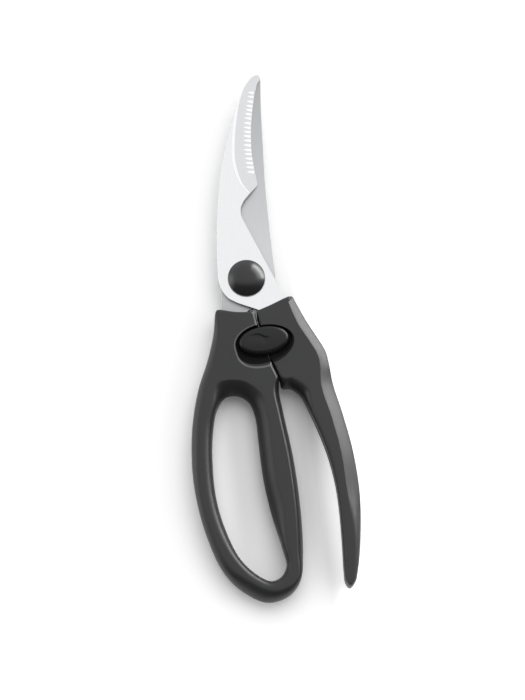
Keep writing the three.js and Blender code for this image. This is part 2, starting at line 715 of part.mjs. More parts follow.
function pivotBolt() {
  const head = BOLT_HEAD_DIAMETER / 2;
  const shank = BOLT_DIAMETER / 2;
  const body = turned(
    [
      [0, HEAD_TOP - BOLT_HEAD_HEIGHT], [head - 0.8, HEAD_TOP - BOLT_HEAD_HEIGHT],
      [head, HEAD_TOP - BOLT_HEAD_HEIGHT + 0.8], [head, HEAD_TOP],
      [shank, HEAD_TOP], [shank, BOLT_TOP - 0.5], [shank - 0.5, BOLT_TOP], [0, BOLT_TOP],
    ],
    ROUND,
  );
  const neckHeight = BLADE_THICKNESS - BLADE_WASHER_SEAT - SEAT;
  const neck = new THREE.BoxGeometry(BOLT_DIAMETER, BOLT_DIAMETER, neckHeight);
  return join(body, solid(neck.translate(0, 0, HEAD_TOP + neckHeight / 2)));
}

function pivotNut() {
  const nut = new THREE.CylinderGeometry(NUT_WIDTH / Math.sqrt(3), NUT_WIDTH / Math.sqrt(3), NUT_HEIGHT, 6);
  nut.rotateX(Math.PI / 2);
  return cut(
    solid(nut.translate(0, 0, (NUT_BOTTOM + NUT_TOP) / 2)),
    disc(BOLT_DIAMETER + FIT, NUT_BOTTOM - 1, NUT_TOP + 1, ROUND),
  );
}

function springWasher() {
  const outer = SPRING_WASHER_DIAMETER / 2;
  const inner = (BOLT_DIAMETER + FIT) / 2;
  const bottom = SPRING_WASHER_BOTTOM;
  const top = bottom + SPRING_WASHER_THICKNESS;
  return turned(
    [
      [outer, bottom], [outer, top],
      [inner, top + SPRING_WASHER_DISH], [inner, bottom + SPRING_WASHER_DISH],
      [outer, bottom],
    ],
    ROUND,
  );
}

function bladeWasher() {
  const bottom = PLAIN_TOP - BLADE_WASHER_SEAT + SEAT;
  return ring(BLADE_WASHER_DIAMETER, BOLT_DIAMETER + FIT, bottom, SERRATED_BOTTOM - SEAT, ROUND);
}

// A domed cap, hollowed to clear the washer, the nut and the end of the bolt.
function frontCap() {
  const radius = CAP_DIAMETER / 2;
  const shoulder = CAP_BOTTOM + CAP_RIM_HEIGHT;
  const dome = [0, 0.25, 0.5, 0.75].map((share) => {
    const angle = (share * Math.PI) / 2;
    return [radius * Math.cos(angle) ** 0.7, shoulder + (CAP_TOP - shoulder) * Math.sin(angle)];
  });
  return cut(
    turned([[0, CAP_BOTTOM], [radius, CAP_BOTTOM], ...dome, [0, CAP_TOP]], ROUND),
    disc(SPRING_WASHER_DIAMETER + 2 * FIT, CAP_BOTTOM - 1, NUT_BOTTOM + FIT),
    disc((2 * NUT_WIDTH) / Math.sqrt(3) + 2 * FIT, CAP_BOTTOM - 1, NUT_TOP + FIT),
    disc(BOLT_DIAMETER + 2 * FIT, CAP_BOTTOM - 1, BOLT_TOP + FIT),
  );
}

// The flat cap that the pivot rests on, hollowed for the bolt's head.
function rearCap() {
  const radius = CAP_DIAMETER / 2;
  const top = PLAIN_BOTTOM - SEAT;
  const floor = HEAD_TOP - BOLT_HEAD_HEIGHT - FIT;
  return cut(
    turned([[0, 0], [radius - CAP_WALL, 0], [radius, CAP_WALL], [radius, top], [0, top]], ROUND),
    disc(BOLT_HEAD_DIAMETER + 2 * FIT, floor, top + 1),
  );
}

// Handles

// The slot a tang is moulded into, with the pillars that pass through its holes.
function tangSlot(tang, holes, bottom, top) {
  const slot = prism(grown(tang, FIT), bottom - FIT, top + FIT);
  return cut(slot, ...tangHoles(holes, TANG_HOLE_DIAMETER - 2 * FIT, bottom - 1, top + 1));
}

function loopHandle() {
  return cut(
    roundedSlab([LOOP_OUTLINE, LOOP_HOLE], 0, HANDLE_THICKNESS),
    tangSlot(plainTang, PLAIN_TANG_HOLES, PLAIN_BOTTOM, PLAIN_TOP),
    recess(),
    springPocket(),
    keeperTab(SEAT),
  );
}

function openHandle() {
  return cut(
    roundedSlab([OPEN_OUTLINE], 0, HANDLE_THICKNESS),
    tangSlot(serratedTang, SERRATED_TANG_HOLES, SERRATED_BOTTOM, SERRATED_TOP),
    recess(),
    springPocket(),
    ...screwHoles(),
  );
}

// Assembly

const BRIGHT_STEEL = { color: 0xd6d8da, roughness: 0.28, metalness: 1 };
const PLAIN_STEEL = { color: 0xb4b7ba, roughness: 0.4, metalness: 1 };
const BLACK_PLASTIC = { color: 0x2b2c2e, roughness: 0.55, metalness: 0 };
const GLOSS_PLASTIC = { color: 0x1d1e20, roughness: 0.25, metalness: 0 };
const ZINC_STEEL = { color: 0x9a9da1, roughness: 0.35, metalness: 1 };
const SPRING_STEEL = { color: 0x7e8286, roughness: 0.3, metalness: 1 };

const PIECES = {
  serrated_blade: [serratedBlade, BRIGHT_STEEL],
  plain_blade: [plainBlade, PLAIN_STEEL],
  loop_handle: [loopHandle, BLACK_PLASTIC],
  open_handle: [openHandle, BLACK_PLASTIC],
  front_cap: [frontCap, GLOSS_PLASTIC],
  rear_cap: [rearCap, GLOSS_PLASTIC],
  pivot_bolt: [pivotBolt, ZINC_STEEL],
  pivot_nut: [pivotNut, ZINC_STEEL],
  spring_washer: [springWasher, SPRING_STEEL],
  blade_washer: [bladeWasher, ZINC_STEEL],
  opening_spring: [openingSpring, SPRING_STEEL],
  lock_button: [lockButton, GLOSS_PLASTIC],
  lock_plate: [lockPlate, ZINC_STEEL],
  lock_screw: [lockScrew, ZINC_STEEL],
  lock_washer: [lockWasher, ZINC_STEEL],
  keeper_tab: [() => keeperTab(0), ZINC_STEEL],
};

const shears = new THREE.Group();
shears.name = "game_shears";
for (const [name, [make, finish]] of Object.entries(PIECES)) {
  const { vertProperties, triVerts } = make().getMesh();
  const geometry = new THREE.BufferGeometry();
  geometry.setAttribute("position", new THREE.BufferAttribute(vertProperties, 3));
  geometry.setIndex(new THREE.BufferAttribute(triVerts, 1));
  geometry.computeVertexNormals();
  const mesh = new THREE.Mesh(geometry, new THREE.MeshStandardMaterial(finish));
  mesh.name = name;
  shears.add(mesh);
}

export default shears;
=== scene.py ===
import math
from collections import namedtuple

import bmesh
import bpy
import numpy as np
from bpy.props import (
    FloatProperty,
    FloatVectorProperty,
    IntProperty,
    PointerProperty,
)
from mathutils import Matrix, Vector
from mathutils.geometry import tessellate_polygon


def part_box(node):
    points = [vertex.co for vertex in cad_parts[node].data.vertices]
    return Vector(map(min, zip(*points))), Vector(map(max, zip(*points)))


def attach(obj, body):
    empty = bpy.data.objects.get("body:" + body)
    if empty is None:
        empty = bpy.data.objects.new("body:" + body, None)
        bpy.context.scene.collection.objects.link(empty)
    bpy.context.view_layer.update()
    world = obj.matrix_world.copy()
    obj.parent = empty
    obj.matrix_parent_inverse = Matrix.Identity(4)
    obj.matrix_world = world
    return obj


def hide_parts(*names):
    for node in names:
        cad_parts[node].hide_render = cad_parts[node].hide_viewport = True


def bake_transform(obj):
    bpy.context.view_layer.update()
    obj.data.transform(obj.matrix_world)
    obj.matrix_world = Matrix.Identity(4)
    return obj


bl_info = {
    "name": "Game Shears Looks",
    "version": (1, 0, 0),
    "blender": (4, 5, 0),
    "location": "3D View > Sidebar > Game Shears",
    "description": "Dresses the packed game shears with fine meshes, finishes and a studio stage",
    "category": "Object",
}

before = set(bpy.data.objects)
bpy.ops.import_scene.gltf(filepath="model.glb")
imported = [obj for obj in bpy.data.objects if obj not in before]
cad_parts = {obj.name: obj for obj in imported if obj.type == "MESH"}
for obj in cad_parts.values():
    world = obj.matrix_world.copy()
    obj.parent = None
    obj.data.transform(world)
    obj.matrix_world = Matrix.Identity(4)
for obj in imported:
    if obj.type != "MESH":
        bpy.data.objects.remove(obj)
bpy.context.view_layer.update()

# Outlines and levels are in millimetres, as on the drawing. Meshes are in metres.
MM = 0.001


def levels(node):
    """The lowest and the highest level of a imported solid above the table."""
    return [corner.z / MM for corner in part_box(node)]


SERRATED_BOTTOM, SERRATED_TOP = levels("serrated_blade")
PLAIN_BOTTOM, PLAIN_TOP = levels("plain_blade")
CAP_BOTTOM, CAP_TOP = levels("front_cap")
REAR_CAP_TOP = levels("rear_cap")[1]
HANDLE_TOP = levels("loop_handle")[1]
BUTTON_BOTTOM, BUTTON_TOP = levels("lock_button")
PLATE_CLEARANCE = 0.1
RECESS_FLOOR = levels("lock_plate")[0] - PLATE_CLEARANCE

# Holes, fits and how far a cutting tool stands out past what it cuts
BOLT_BORE_RADIUS = 3.1
SCREW_HOLE_RADIUS = 1.8
WASHER_SEAT_RADIUS, WASHER_SEAT_HEIGHT = 3.5, 2.7
LEVER_CLEARANCE = 1.0
SPRING_CLEARANCE = 0.3
TANG_CLEARANCE = 0.05
OVERSHOOT = 1

# Grinding: how hollow it is, the polished border, the plain bevel's slant, and the grooves' taper
HOLLOW_POWER = 1.25
BORDER_WIDTH, BORDER_DEPTH, BORDER_SHIFT = 1.2, 0.06, 0.2
BEVEL_SHIFT = 0.6
GROOVE_TAPER = 0.3

# Distance between the points of a traced outline
BLADE_SPACING, HANDLE_SPACING, SLOT_SPACING = 0.8, 0.9, 1.2

# Rims: how far the rounded edge reaches in, how far it drops, and how full it is
Rim = namedtuple("Rim", "reach drop fullness")
CRISP = Rim(0.8, 0.8, 2)
SEAM = Rim(1.3, 1.3, 2)
LEDGE = Rim(1.2, 0.9, 1.1)
SLIM = Rim(1.8, 2.6, 2)
SOFT = Rim(3.2, 4.6, 2)
ARM = Rim(4.4, 5.2, 2)
BASE = Rim(5.7, 6.4, 1.6)
CORNER = Rim(1.2, 1.2, 2)
BROW = Rim(3.2, 2.4, 1.1)
SHOULDER = Rim(4.4, 3.2, 1.1)
PALM = Rim(5.8, 4.7, 1.1)
TIP = Rim(1.3, 3.6, 2)
CROTCH = Rim(4.7, 6.4, 1.7)
LOOP_TOP = Rim(6.8, 6.8, 1.3)
LOOP_BAR = Rim(6.2, 6.6, 1.3)
LOOP_ARM = Rim(4.2, 5.4, 2)
DRAFT = Rim(2.8, 6.4, 1.6)
STAMPED = Rim(0.14, 0.14, 2)

# Lips of the lever's recess: depth, how far they flare and lean, and their edge's reach and drop
Lip = namedtuple("Lip", "depth flare lean edge_reach edge_drop")
LOOP_LIP = Lip(0.8, 0.9, (0.4, -0.75), 0.6, 0.2)
OPEN_LIP = Lip(1.2, 0.5, (0.3, -1.1), 0.15, 0.15)

# Outlines run anticlockwise. Each is a list of runs, and each run is a smooth curve
# through its points, or a line when it has two.
SERRATED_OUTLINE = [
    [(5.6, -15), (7.2, -16.8), (13, -19.6), (21.6, -29.5), (26, -41), (29, -55)],
    [(29, -55), (31, -57.4), (34, -57), (35, -54)],
    [(35, -54), (33, -42), (29.2, -30.5), (23.4, -20), (17.9, -9.3)],
    [(17.9, -9.3), (-1.1, 27.2)],
    [(-1.1, 27.2), (-2.5, 30.4), (-2.7, 34), (-1.4, 37.4)],
    [(-1.4, 37.4), (5.2, 45.7)],
    [(5.2, 45.7), (3.7, 53.6), (2.3, 63), (2.3, 76), (3.4, 88), (4.7, 95.6)],
    [(4.7, 95.6), (6.2, 98.4), (5.7, 100.1), (4, 100), (1.6, 98.3)],
    [
        (1.6, 98.3), (-2.1, 92.2), (-5, 84.6), (-9, 68.4), (-12.3, 50.6),
        (-13.7, 32), (-13.8, 14), (-13.4, 4),
    ],
    [(-13.4, 4), (-13, -0.6), (-11.3, -5.8), (-8.4, -9.4), (-4, -11.8)],
    [(-4, -11.8), (5.6, -15)],
]
GRIND_LINE = [
    (3.2, 39.2), (1.2, 41.7), (-2, 45.8), (-4.3, 51.4), (-5.7, 58.3),
    (-5.8, 67.7), (-5.1, 76.6), (-3.7, 86.1), (-1.2, 94), (2, 101.5),
]
SERRATED_EDGE = [
    (8.6, 42.6), (7.2, 44.4), (5.3, 46.2), (4.1, 51.4), (2.95, 58.5),
    (2.2, 67.7), (2.25, 76.2), (3.15, 86), (4.4, 94), (7.6, 101),
]
PLAIN_EDGE = [
    (5.2, 98.9), (2.6, 94.4), (0.4, 88), (-2.4, 74), (-4.4, 56),
    (-6.6, 36), (-8.7, 20), (-10.6, 6), (-11.6, -2),
]
PLAIN_OUTLINE = [
    [(0.6, -14.8), (8.6, -10.8), (12.6, -4.8), (13.4, 1.6)],
    [(13.4, 1.6), (11, 21.6), (9, 42), (7.5, 66), (6.6, 86), (6.5, 97.4)],
    [(6.5, 97.4), (6.3, 98.9), (5.2, 98.9)],
    PLAIN_EDGE,
    [(-11.6, -2), (-11.6, -9), (-11.6, -18), (-12, -28), (-14, -40), (-18.8, -54)],
    [(-18.8, -54), (-18, -56.6), (-15.6, -56.6), (-14, -54)],
    [(-14, -54), (-9, -43), (-5.4, -32), (-2.6, -22), (0.6, -14.8)],
]
# The middle line of the seam, with half the gap at each point
SEAM_LINE = [
    (4.1, -16.3, 0.5), (6.2, -24.2, 0.5), (9, -33, 0.5), (12.4, -41.6, 0.4), (15.2, -47.6, 0.25),
]
LOOP_SEAM = [(x - half, y, LEDGE) for x, y, half in reversed(SEAM_LINE)]
OPEN_SEAM = [(x + half, y, SEAM) for x, y, half in SEAM_LINE]
LOOP_OUTLINE = [
    [LOOP_SEAM[-1], (-0.6, -16.9, CRISP), (-5.4, -16.8, CRISP), (-12, -15.7, CORNER)],
    [(-12, -15.7, CORNER), (-13.7, -16, CORNER), (-14.5, -17.7, CORNER)],
    [
        (-14.5, -17.7, CORNER), (-15.3, -27, SOFT), (-18.2, -40, ARM), (-21.9, -52, ARM),
        (-24.3, -66, ARM), (-25, -80, ARM), (-23.6, -98, SOFT), (-18.8, -117.4, SOFT),
        (-10.4, -136, ARM), (-2, -144.6, BASE), (9.4, -149.9, BASE), (19, -147.2, ARM),
        (24.6, -140, SLIM), (25.8, -128, DRAFT), (24.8, -108, DRAFT), (21.7, -85, DRAFT),
        (16.9, -62.6, DRAFT), (15.1, -53.5, DRAFT), LOOP_SEAM[0],
    ],
    LOOP_SEAM,
]
LOOP_HOLE = [
    [
        (-15.5, -82, LOOP_ARM), (-15, -70, LOOP_ARM), (-13.4, -61.4, SOFT),
        (-9.6, -56.2, LOOP_TOP), (-3.6, -55.6, LOOP_TOP), (1.4, -58.8, LOOP_TOP),
        (4, -65, LOOP_BAR), (5.7, -78, LOOP_BAR), (7.8, -94, LOOP_BAR),
        (11.6, -110.4, LOOP_BAR), (16.6, -126, SOFT), (18.3, -133.4, SOFT),
        (16.2, -138.2, SOFT), (11.8, -140.4, SOFT), (6, -138.2, SOFT),
        (-2.4, -130.6, SOFT), (-9.2, -117.4, LOOP_ARM), (-13.8, -101.6, LOOP_ARM),
        (-15.5, -82, LOOP_ARM),
    ],
]
OPEN_OUTLINE = [
    OPEN_SEAM,
    [
        OPEN_SEAM[-1], (16.4, -51.8, CROTCH), (20, -51.9, CROTCH), (22.8, -53.5, CROTCH),
        (25.2, -55.8, CROTCH), (27.4, -59.6, SOFT),
        (32.4, -70, SLIM), (36.9, -81.6, SLIM), (40.4, -94.4, SLIM),
        (42.3, -107, SLIM), (43.5, -122, SLIM), (44.3, -136.4, SLIM), (44.9, -140.8, TIP),
        (46.9, -143.2, TIP), (49.2, -141, TIP), (50.4, -135.6, SLIM), (51.8, -121, SOFT),
        (51.7, -101, PALM), (48.9, -81.6, PALM), (44.4, -64.4, PALM), (39.9, -50, PALM),
        (38.1, -41, SHOULDER), (36.6, -35, SHOULDER), (32.6, -28.2, SHOULDER), (27, -19.4, SHOULDER),
        (22, -10.6, BROW),
    ],
    [(22, -10.6, BROW), (21.2, -9.2, BROW), (19.6, -9.3, CORNER)],
    [(19.6, -9.3, CORNER), (16.3, -10.9, CRISP), (11, -13.6, CRISP), OPEN_SEAM[0]],
]


# Sizes and colours that a user would change


class BladeSettings(bpy.types.PropertyGroup):
    edge_thickness: FloatProperty(
        name="Edge Thickness",
        description="What the grind leaves at the cutting edges",
        default=0.00045,
        unit="LENGTH",
    )
    groove_count: IntProperty(
        name="Grooves", description="Serration grooves along the edge", default=19, min=1
    )
    groove_pitch: FloatProperty(
        name="Groove Pitch",
        description="Distance from groove to groove along the edge",
        default=0.00219,
        unit="LENGTH",
    )
    groove_start: FloatProperty(
        name="Groove Start",
        description="Distance along the edge from its lower end to the first groove",
        default=0.0112,
        unit="LENGTH",
    )
    groove_radius: FloatProperty(
        name="Groove Radius", description="Radius of a groove", default=0.00085, unit="LENGTH"
    )
    groove_length: FloatProperty(
        name="Groove Length",
        description="How far the lowest groove runs in from the edge",
        default=0.0033,
        unit="LENGTH",
    )
    groove_depth: FloatProperty(
        name="Groove Depth",
        description="Depth of a groove at the edge",
        default=0.0005,
        unit="LENGTH",
    )
    bevel_width: FloatProperty(
        name="Plain Bevel",
        description="Width of the plain blade's ground bevel",
        default=0.0042,
        unit="LENGTH",
    )
    bright_colour: FloatVectorProperty(
        name="Bright Steel",
        description="Colour of the serrated blade",
        subtype="COLOR",
        default=(0.785, 0.79, 0.80),
    )
    ground_colour: FloatVectorProperty(
        name="Ground Steel",
        description="Colour of the hollow grind",
        subtype="COLOR",
        default=(0.67, 0.675, 0.685),
    )
    plain_colour: FloatVectorProperty(
        name="Plain Steel",
        description="Colour of the plain blade",
        subtype="COLOR",
        default=(0.58, 0.59, 0.60),
    )


class HandleSettings(bpy.types.PropertyGroup):
    colour: FloatVectorProperty(
        name="Plastic",
        description="Colour of the moulded handles",
        subtype="COLOR",
        default=(0.0105, 0.0107, 0.0112),
    )
    grain_size: FloatProperty(
        name="Grain Size",
        description="Size of the moulded grain",
        default=0.00035,
        unit="LENGTH",
    )
    grain_depth: FloatProperty(
        name="Grain Depth",
        description="Depth of the moulded grain",
        default=0.00002,
        unit="LENGTH",
    )


class PivotSettings(bpy.types.PropertyGroup):
    cap_diameter: FloatProperty(
        name="Cap Diameter",
        description="Diameter of both pivot caps",
        default=2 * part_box("front_cap")[1].x,
        unit="LENGTH",
    )
    cap_rim: FloatProperty(
        name="Cap Rim",
        description="Height of the upright rim under the dome",
        default=0.0008,
        unit="LENGTH",
    )
    colour: FloatVectorProperty(
        name="Cap Plastic",
        description="Colour of the caps",
        subtype="COLOR",
        default=(0.012, 0.0122, 0.013),
    )


class LockSettings(bpy.types.PropertyGroup):
    pivot: FloatVectorProperty(
        name="Lever Axis",
        description="Where the lever's screw stands",
        size=2,
        subtype="XYZ",
        unit="LENGTH",
        default=(0.0164, -0.0291),
    )
    tilt: FloatProperty(
        name="Lever Tilt",
        description="How far the lever is turned at rest",
        default=math.radians(10),
        subtype="ANGLE",
    )
    swing: FloatProperty(
        name="Lever Swing",
        description="How far the lever swings to unlock",
        default=math.radians(14),
        subtype="ANGLE",
    )
    length: FloatProperty(
        name="Lever Length", description="Length of the oval", default=0.024, unit="LENGTH"
    )
    width: FloatProperty(
        name="Lever Width", description="Width of the oval", default=0.0138, unit="LENGTH"
    )
    centre: FloatProperty(
        name="Lever Centre",
        description="Distance from the lever's axis to the middle of the oval",
        default=0.0084,
        unit="LENGTH",
    )
    colour: FloatVectorProperty(
        name="Lever Plastic",
        description="Colour of the thumb lever",
        subtype="COLOR",
        default=(0.006, 0.0062, 0.0068),
    )


class SpringSettings(bpy.types.PropertyGroup):
    angle: FloatProperty(
        name="Angle",
        description="Turn of the spring about the blade pivot",
        default=math.radians(15.5),
        subtype="ANGLE",
    )
    distance: FloatProperty(
        name="Distance",
        description="Distance of the spring from the blade pivot",
        default=0.0414,
        unit="LENGTH",
    )
    height: FloatProperty(
        name="Height",
        description="Height of the spring's axis above the table",
        default=0.0056,
        unit="LENGTH",
    )
    diameter: FloatProperty(
        name="Diameter", description="Outside diameter", default=0.006, unit="LENGTH"
    )
    wire: FloatProperty(
        name="Wire", description="Diameter of the wire", default=0.0008, unit="LENGTH"
    )
    length: FloatProperty(
        name="Length", description="Length when closed", default=0.015, unit="LENGTH"
    )
    curls: IntProperty(name="Curls", description="Turns of the wire", default=7, min=1)
    colour: FloatVectorProperty(
        name="Spring Steel",
        description="Colour of the springs",
        subtype="COLOR",
        default=(0.45, 0.46, 0.48),
    )
    zinc_colour: FloatVectorProperty(
        name="Zinc",
        description="Colour of the plated pieces",
        subtype="COLOR",
        default=(0.58, 0.59, 0.61),
    )


class StageSettings(bpy.types.PropertyGroup):
    floor_colour: FloatVectorProperty(
        name="Floor", description="Colour of the floor", subtype="COLOR", default=(0.97, 0.97, 0.97)
    )
    floor_glow: FloatProperty(
        name="Floor Glow", description="What the floor adds to its own white", default=0.045, min=0
    )
    ambient: FloatProperty(
        name="Ambient", description="Level of the light from all round", default=0.95, min=0
    )
    key_power: FloatProperty(
        name="Key Light", description="Power of the light beyond the blade tips", default=1.3, min=0
    )
    side_card: FloatProperty(
        name="Side Card",
        description="Power of the low card on the right that shows in reflections",
        default=5.3,
        min=0,
    )
    high_card: FloatProperty(
        name="High Card",
        description="Power of the card above the low one",
        default=1.35,
        min=0,
    )
    rear_card: FloatProperty(
        name="Rear Card",
        description="Power of the large card that the blades show when seen from behind",
        default=10,
        min=0,
    )
    tilt: FloatProperty(
        name="Camera Tilt",
        description="How far the view leans from straight down",
        default=math.radians(12),
        subtype="ANGLE",
    )
    distance: FloatProperty(
        name="Camera Distance",
        description="Distance from the camera to its target",
        default=0.9,
        unit="LENGTH",
    )
    target: FloatVectorProperty(
        name="Camera Target",
        description="The point in the middle of the picture",
        subtype="XYZ",
        unit="LENGTH",
        default=(0.00745, -0.0335, 0.007),
    )


class ShearsSettings(bpy.types.PropertyGroup):
    blades: PointerProperty(type=BladeSettings)
    handles: PointerProperty(type=HandleSettings)
    pivot: PointerProperty(type=PivotSettings)
    lock: PointerProperty(type=LockSettings)
    spring: PointerProperty(type=SpringSettings)
    stage: PointerProperty(type=StageSettings)


# Curves and meshes


def spline(run, pieces):
    """Points on a smooth curve through a run, with so many pieces in each span and no last point.

    The first two numbers of a point are its place. Any others are carried along the curve.
    """
    points = np.array(run, float)
    if len(points) == 2:
        shares = np.arange(pieces[0])[:, None] / pieces[0]
        return points[0] + shares * (points[1] - points[0])
    if np.allclose(points[0], points[-1]):
        before, after = points[-2], points[1]
    else:
        before, after = 2 * points[0] - points[1], 2 * points[-1] - points[-2]
    held = np.vstack([before, points, after])
    knots = np.sqrt(np.linalg.norm(np.diff(held[:, :2], axis=0), axis=1))
    made = []
    for i, count in enumerate(pieces):
        p0, p1, p2, p3 = held[i : i + 4]
        d0, d1, d2 = knots[i : i + 3]
        leave = ((p1 - p0) / d0 - (p2 - p0) / (d0 + d1) + (p2 - p1) / d1) * d1
        arrive = ((p2 - p1) / d1 - (p3 - p1) / (d1 + d2) + (p3 - p2) / d2) * d1
        for share in np.arange(count) / count:
            square, cube = share**2, share**3
            made.append(
                p1
                + share * leave
                + square * (3 * p2 - 3 * p1 - 2 * leave - arrive)
                + cube * (2 * p1 - 2 * p2 + leave + arrive)
            )
    return np.array(made)


def span_pieces(run, spacing):
    """How many pieces each span of a run takes, at about that spacing."""
    places = np.array([point[:2] for point in run], float)
    lengths = np.linalg.norm(np.diff(places, axis=0), axis=1)
    return [max(2, round(length / spacing)) for length in lengths]


def turns(count):
    """The angles of so many points all round a circle."""
    return [2 * math.pi * i / count for i in range(count)]


def quarter(steps):
    """The angles from nothing to a right angle, in so many steps."""
    return [math.pi / 2 * step / steps for step in range(steps + 1)]


def inward(points):
    """The way into the material at each point, long enough that both its sides move by one."""
    before = points - np.roll(points, 1, axis=0)
    after = np.roll(points, -1, axis=0) - points
    normals = []
    for side in (before, after):
        turned = np.stack([-side[:, 1], side[:, 0]], axis=1)
        normals.append(turned / np.linalg.norm(turned, axis=1, keepdims=True))
    first, second = normals
    return (first + second) / (1 + np.sum(first * second, axis=1, keepdims=True))


def trace(runs, spacing, rim=None, corner=2):
    """Rows of an outline: its place, the place where its rim ends, and the rim's drop and fullness.

    Where two runs meet, the corner is eased over that many points on each side.
    """
    pieces = [span_pieces(run, spacing) for run in runs]
    outer = np.vstack([spline([p[:2] for p in run], n) for run, n in zip(runs, pieces)])
    ways = inward(outer)
    rows = []
    joints = []
    for run, counts in zip(runs, pieces):
        start = len(rows)
        joints.append(start)
        ends = start + np.concatenate([[0], np.cumsum(counts)])
        full = []
        for point, end in zip(run, ends):
            reach, drop, fullness = rim or point[2]
            inner = np.array(point[:2]) + reach * ways[end % len(outer)]
            full.append([*point[:2], *inner, drop, fullness])
        rows.extend(spline(full, counts))
    rows = np.array(rows)
    if len(runs) > 1:
        eased = rows.copy()
        for joint in joints:
            first, last = rows[joint - corner], rows[(joint + corner) % len(rows)]
            for step in range(1 - corner, corner):
                share = (step + corner) / (2 * corner)
                spot = (joint + step) % len(rows)
                eased[spot] = (
                    (1 - share) ** 2 * first
                    + 2 * share * (1 - share) * rows[joint]
                    + share**2 * last
                )
        rows = eased
    return rows


def new_piece(name, points, faces, material=None):
    """A mesh object from points in millimetres."""
    mesh = bpy.data.meshes.new(name)
    mesh.from_pydata([tuple(np.array(point, float) * MM) for point in points], [], faces)
    mesh.validate()
    mesh.update()
    obj = bpy.data.objects.new(name, mesh)
    bpy.context.scene.collection.objects.link(obj)
    if material:
        mesh.materials.append(material)
    return obj


def slab(node, outlines, steps, material, wall_material=None):
    """A flat piece in a node's box, with rims rounded above and below, from traced outlines.

    Its upright sides can have a material of their own.
    """
    least, most = (np.array(corner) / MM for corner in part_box(node))
    bottom, top = least[2], most[2]
    angles = quarter(steps)
    bands = [(angle, -1) for angle in reversed(angles)] + [(angle, 1) for angle in angles]
    points, faces, rings, walls = [], [], [], []
    for rows in outlines:
        outer, inner = rows[:, :2], rows[:, 2:4]
        drop, power = rows[:, 4], 2 / rows[:, 5]
        starts = []
        for angle, side in bands:
            reach = 1 - max(math.cos(angle), 0) ** power
            fall = drop * (1 - math.sin(angle) ** power)
            places = np.clip(outer + (inner - outer) * reach[:, None], least[:2], most[:2])
            heights = top - fall if side > 0 else bottom + fall
            starts.append(len(points))
            points.extend(np.column_stack([places, heights]))
        count = len(rows)
        for band, (low, high) in enumerate(zip(starts, starts[1:])):
            if band == steps:
                walls.extend(range(len(faces), len(faces) + count))
            for i in range(count):
                j = (i + 1) % count
                faces.append((low + i, low + j, high + j, high + i))
        rings.append((starts[0], starts[-1], count))
    for end in (0, 1):
        loops = [range(ring[end], ring[end] + ring[2]) for ring in rings]
        flat = [[Vector((*points[i][:2], 0)) for i in loop] for loop in loops]
        names = [i for loop in loops for i in loop]
        for a, b, c in tessellate_polygon(flat):
            ab = points[names[b]][:2] - points[names[a]][:2]
            ac = points[names[c]][:2] - points[names[a]][:2]
            upward = ab[0] * ac[1] - ab[1] * ac[0] > 0
            order = (a, b, c) if upward == (end == 1) else (a, c, b)
            faces.append(tuple(names[i] for i in order))
    piece = new_piece(f"{node}_shape", points, faces, material)
    if wall_material:
        piece.data.materials.append(wall_material)
        for i in walls:
            piece.data.polygons[i].material_index = 1
    return piece


def loft(name, sections, material=None):
    """A closed solid through like sections, each a closed list of points."""
    count = len(sections[0])
    points = [point for section in sections for point in section]
    faces = []
    for s in range(len(sections) - 1):
        for i in range(count):
            j = (i + 1) % count
            low, high = s * count, (s + 1) * count
            faces.append((low + i, low + j, high + j, high + i))
    last = (len(sections) - 1) * count
    faces.append(tuple(reversed(range(count))))
    faces.append(tuple(range(last, last + count)))
    obj = new_piece(name, points, faces, material)
    face_outward(obj)
    return obj


def face_outward(obj):
    """Turns all faces of a closed mesh outward."""
    work = bmesh.new()
    work.from_mesh(obj.data)
    bmesh.ops.recalc_face_normals(work, faces=work.faces)
    work.to_mesh(obj.data)
    work.free()


def lathe(name, profile, material):
    """A round piece from its outline, given as distance from the axis and height, foot first."""
    segments = 96
    sections = [
        [(radius * math.cos(turn), radius * math.sin(turn), height) for turn in turns(segments)]
        for radius, height in profile
    ]
    return loft(name, sections, material)


def rod(name, foot, head, radius):
    """A straight round rod between two points."""
    foot, head = Vector(foot), Vector(head)
    turn = Vector((0, 0, 1)).rotation_difference(head - foot).to_matrix()
    segments = 48
    spots = [Vector((radius * math.cos(a), radius * math.sin(a), 0)) for a in turns(segments)]
    return loft(name, [[end + turn @ spot for spot in spots] for end in (foot, head)])


def cut(obj, *tools):
    """Takes the tools out of a piece and deletes them. Their material stays on what they cut."""
    for tool in tools:
        modifier = obj.modifiers.new("cut", "BOOLEAN")
        modifier.operation = "DIFFERENCE"
        modifier.solver = "EXACT"
        modifier.object = tool
        modifier.material_mode = "TRANSFER"
    graph = bpy.context.evaluated_depsgraph_get()
    made = bpy.data.meshes.new_from_object(obj.evaluated_get(graph), depsgraph=graph)
    old = obj.data
    obj.modifiers.clear()
    obj.data = made
    made.name = obj.name
    bpy.data.meshes.remove(old)
    for tool in tools:
        mesh = tool.data
        bpy.data.objects.remove(tool)
        bpy.data.meshes.remove(mesh)
    if not len(made.polygons):
        raise RuntimeError(f"nothing is left of {obj.name}")


def shade(obj, angle):
    """Smooth shading that keeps edges sharper than the angle, in degrees."""
    obj.data.shade_smooth()
    obj.data.set_sharp_from_angle(angle=math.radians(angle))
    weigh = obj.modifiers.new("weighted normals", "WEIGHTED_NORMAL")
    weigh.keep_sharp = True
    weigh.weight = 80


def dress(obj, body, slot, *nodes):
    """Puts a finished piece in the place of its CAD nodes."""
    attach(obj, body)
    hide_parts(*nodes)


# Finishes


